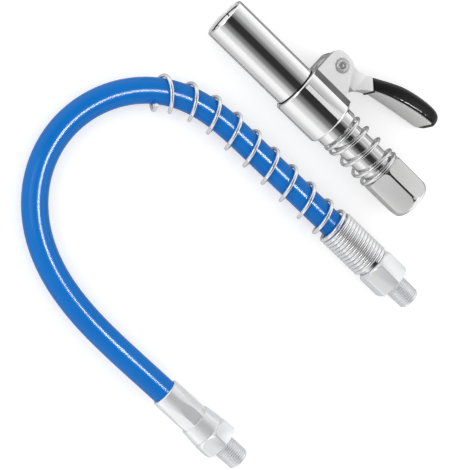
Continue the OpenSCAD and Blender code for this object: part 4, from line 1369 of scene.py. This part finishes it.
@dataclass
class CoreGroup:
    """Stem, nut with its threaded port, main spring and the pieces inside."""

    nut_length: float = 19.7
    nut_flats: float = 17.0
    nut_corner: float = 39.4
    corner_trim: float = 0.25
    dome_length: float = 5.5
    face_d: float = 12.8
    rounding: float = 0.9
    rounding_length: float = 2.4
    port_depth: float = 9.6
    port_bevel: float = 0.9
    port_root_d: float = 9.8
    port_d: float = 8.8
    pitch: float = 0.907
    passage_d: float = 4.6
    socket_x: float = 10.6
    shank_d: float = 11.1
    spring_length: float = 23.7
    spring_d: float = 19.2
    spring_wire: float = 1.4
    spring_turns: float = 4.7
    spring_closed: float = 0.9
    # Free room at each end of the main spring
    spring_room: float = 0.05
    seal_d: float = 5.6
    seal_wire: float = 0.6
    seal_turns: float = 7.0
    seal_travel: float = 2.0
    ball_travel: float = 1.0

    def nut(self) -> Piece:
        """Model the domed hexagon nut with its bores.

        Returns:
            The nut.
        """
        corner = corner_radius(self.nut_flats) - self.corner_trim
        face, front = self.face_d / 2, self.nut_length
        nut = Bench.hex_bar("hexagon_nut", self.nut_flats, 0, front, self.nut_corner)
        crown = Bench.lathe("crown", [
            (0, 0), *arc(self.dome_length, face, self.dome_length, corner - face, 180, 90, 24),
            *arc(front - self.rounding_length, corner - self.rounding, self.rounding_length, self.rounding,
                 90, 0, 16), (front, 0)], steps=192)
        Bench.join_solid(nut, crown, "INTERSECT")
        root, passage, shank = self.port_root_d / 2, self.passage_d / 2, self.shank_d / 2
        bores = Bench.lathe("bores", [
            (-1, 0), (-1, root + self.port_bevel), (0.5, root), (self.port_depth, root),
            (self.port_depth, passage),
            (self.socket_x, passage), (self.socket_x, shank), (front + 1, shank), (front + 1, 0)],
            steps=96)
        Bench.join_solid(nut, bores, "DIFFERENCE")
        Bench.soften(nut, width=0.14, segments=2, least=30, smooth=28)
        set_down(nut, ROLL)
        return nut

    def on_flat(self, centre: Vector, normal: Vector) -> bool:
        """Flat of the nut's hexagon."""
        return abs(normal.x) < 0.02 and abs(centre.dot(normal) - self.nut_flats / 2) < 0.03

    def port_thread(self) -> Piece:
        """Model the ridge of the port's thread.

        Returns:
            The ridge.
        """
        sink, margin, slope = 0.08, 0.6, 1.2
        root, crest = self.port_root_d / 2 + sink, self.port_d / 2

        def limit(x: float, radius: float) -> float:
            """Radius kept at a place, behind the port's chamfer."""
            return max(radius, min(root + margin / 2, root + margin - slope * x))

        ridge = Bench.thread("port_thread_ridge", root, crest, margin, self.port_depth - 1.5 * margin,
                             self.pitch, limit)
        set_down(ridge, ROLL)
        return ridge

    def main_spring(self) -> Piece:
        """Model the left-handed main spring with a closed turn at each end.

        Returns:
            The spring.
        """
        wire = self.spring_wire
        path = self.coil_path(self.nut_length + wire / 2 + self.spring_room,
                              self.spring_length - wire - 2 * self.spring_room, (self.spring_d - wire) / 2,
                              wire, self.spring_turns, self.spring_closed, -1)
        spring = Bench.wire("main_spring_wire", path, wire, sides=16)
        set_down(spring, ROLL)
        return spring

    def seal_springs(self) -> None:
        """Model the seal spring in two halves, a rear one and a front one."""
        low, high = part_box("seal_spring")
        wire = self.seal_wire
        path = self.coil_path(low[0] / MM + wire / 2, (high[0] - low[0]) / MM - wire,
                              (self.seal_d - wire) / 2, wire, self.seal_turns, 1.0, 1)
        middle = len(path) // 2
        for name, half, outer_end, joint, travel, nodes in (
                ("rear", path[:middle + 1], 0, "ball_lift", self.ball_travel, ["seal_spring"]),
                ("front", path[middle:], -1, "seal_slide", self.seal_travel, [])):
            spring = Bench.wire(f"seal_spring_{name}", half, wire, sides=10)
            set_down(spring, ROLL)
            hand_over(spring, Body.CORE.value, SPRING_STEEL, *nodes)
            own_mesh(spring)

    @staticmethod
    def coil_path(start: float, run: float, radius: float, wire: float, turns: float, closed: float,
                  hand: int) -> list[Vector]:
        """Centres of a compression spring's wire about X.

        Args:
            start: Where the wire starts.
            run: Advance over all turns.
            radius: Radius of the coil's centre line.
            wire: The wire's diameter.
            turns: Number of turns.
            closed: Closed turns at each end.
            hand: 1 for a right-handed spring, -1 for a left-handed one.

        Returns:
            The centres.
        """
        tight = wire + SPRING_GAP
        opening = (run - 2 * tight * closed) / (turns - 2 * closed)
        path = []
        count = round(turns * 64)
        for i in range(count + 1):
            turn = turns * i / count
            advance = min(max(turn - closed, 0.0), turns - 2 * closed) * opening
            advance += tight * (min(turn, closed) + max(0.0, turn - (turns - closed)))
            angle = hand * math.tau * turn
            path.append(Vector((start + advance, -radius * math.cos(angle), -radius * math.sin(angle))))
        for _ in range(3):
            inner = [(path[k - 1] + 2 * path[k] + path[k + 1]) / 4 for k in range(1, count)]
            path = [path[0], *inner, path[-1]]
        return path

    def build(self) -> None:
        """Build the core group."""
        core = Body.CORE.value
        SATIN_HEX.dress_faces(hand_over(self.nut(), core, ZINC, "hex_nut"), self.on_flat)
        hand_over(self.port_thread(), core, ZINC)
        spring = hand_over(self.main_spring(), core, SPRING_STEEL, "main_spring")
        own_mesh(spring)
        self.seal_springs()
        for finish, nodes in ((POLISHED, ("stem", "seal_plunger", "check_ball")), (COPPER, ("nut_washer",)),
                              (SPRING_STEEL, ("jaw_ring",)), (RUBBER, ("seal_cup", "plunger_oring")),
                              (ZINC, ("ferrule_a",))):
            for node in nodes:
                finish.dress(bpy.data.objects[node])


@dataclass
class JawSet:
    """The six jaws, modelled once and turned about the tube."""

    count: int = 6

    def build(self) -> None:
        """Soften the first jaw and place a copy of it for each jaw."""
        first = Bench.copy_of("jaw_1", "jaw_head_1")
        Bench.soften(first, width=0.12, segments=2, least=28, smooth=30)
        jaws = [first]
        for k in range(1, self.count):
            jaw = first.copy()
            jaw.data = first.data.copy()
            jaw.name = jaw.data.name = f"jaw_head_{k + 1}"
            bpy.context.collection.objects.link(jaw)
            set_down(jaw, turned(-360 / self.count * k, "X"))
            jaws.append(jaw)
        for k, jaw in enumerate(jaws, 1):
            # Painted shade in the slits between the jaws
            SLIT_PAINTED_SHADE.dress_faces(hand_over(jaw, f"jaw_{k}", JAW_STEEL, f"jaw_{k}"), self.in_slit)

    @staticmethod
    def in_slit(centre: Vector, normal: Vector) -> bool:
        """Flank of a slit between two jaws, which gets painted shade."""
        outward = normal.y * centre.y + normal.z * centre.z
        return abs(outward) < 0.4 * math.hypot(centre.y, centre.z) and abs(normal.x) < 0.3


def main() -> None:
    """Build the studio and the part, camera and hose first."""
    logging.basicConfig(level=logging.INFO, format="%(message)s")
    for name in ("Camera", "Light", "Cube"):
        if name in bpy.data.objects:
            bpy.data.objects.remove(bpy.data.objects[name])
    studio = Studio()
    studio.build()
    for group in (HoseGroup(), SleeveGroup(), LeverGroup(), CoreGroup(), JawSet()):
        group.build()
        LOG.info("%s is built", type(group).__name__)
    studio.streak_lamp("blue_hose_tube", "grip_cover")


if __name__ == "__main__":
    main()
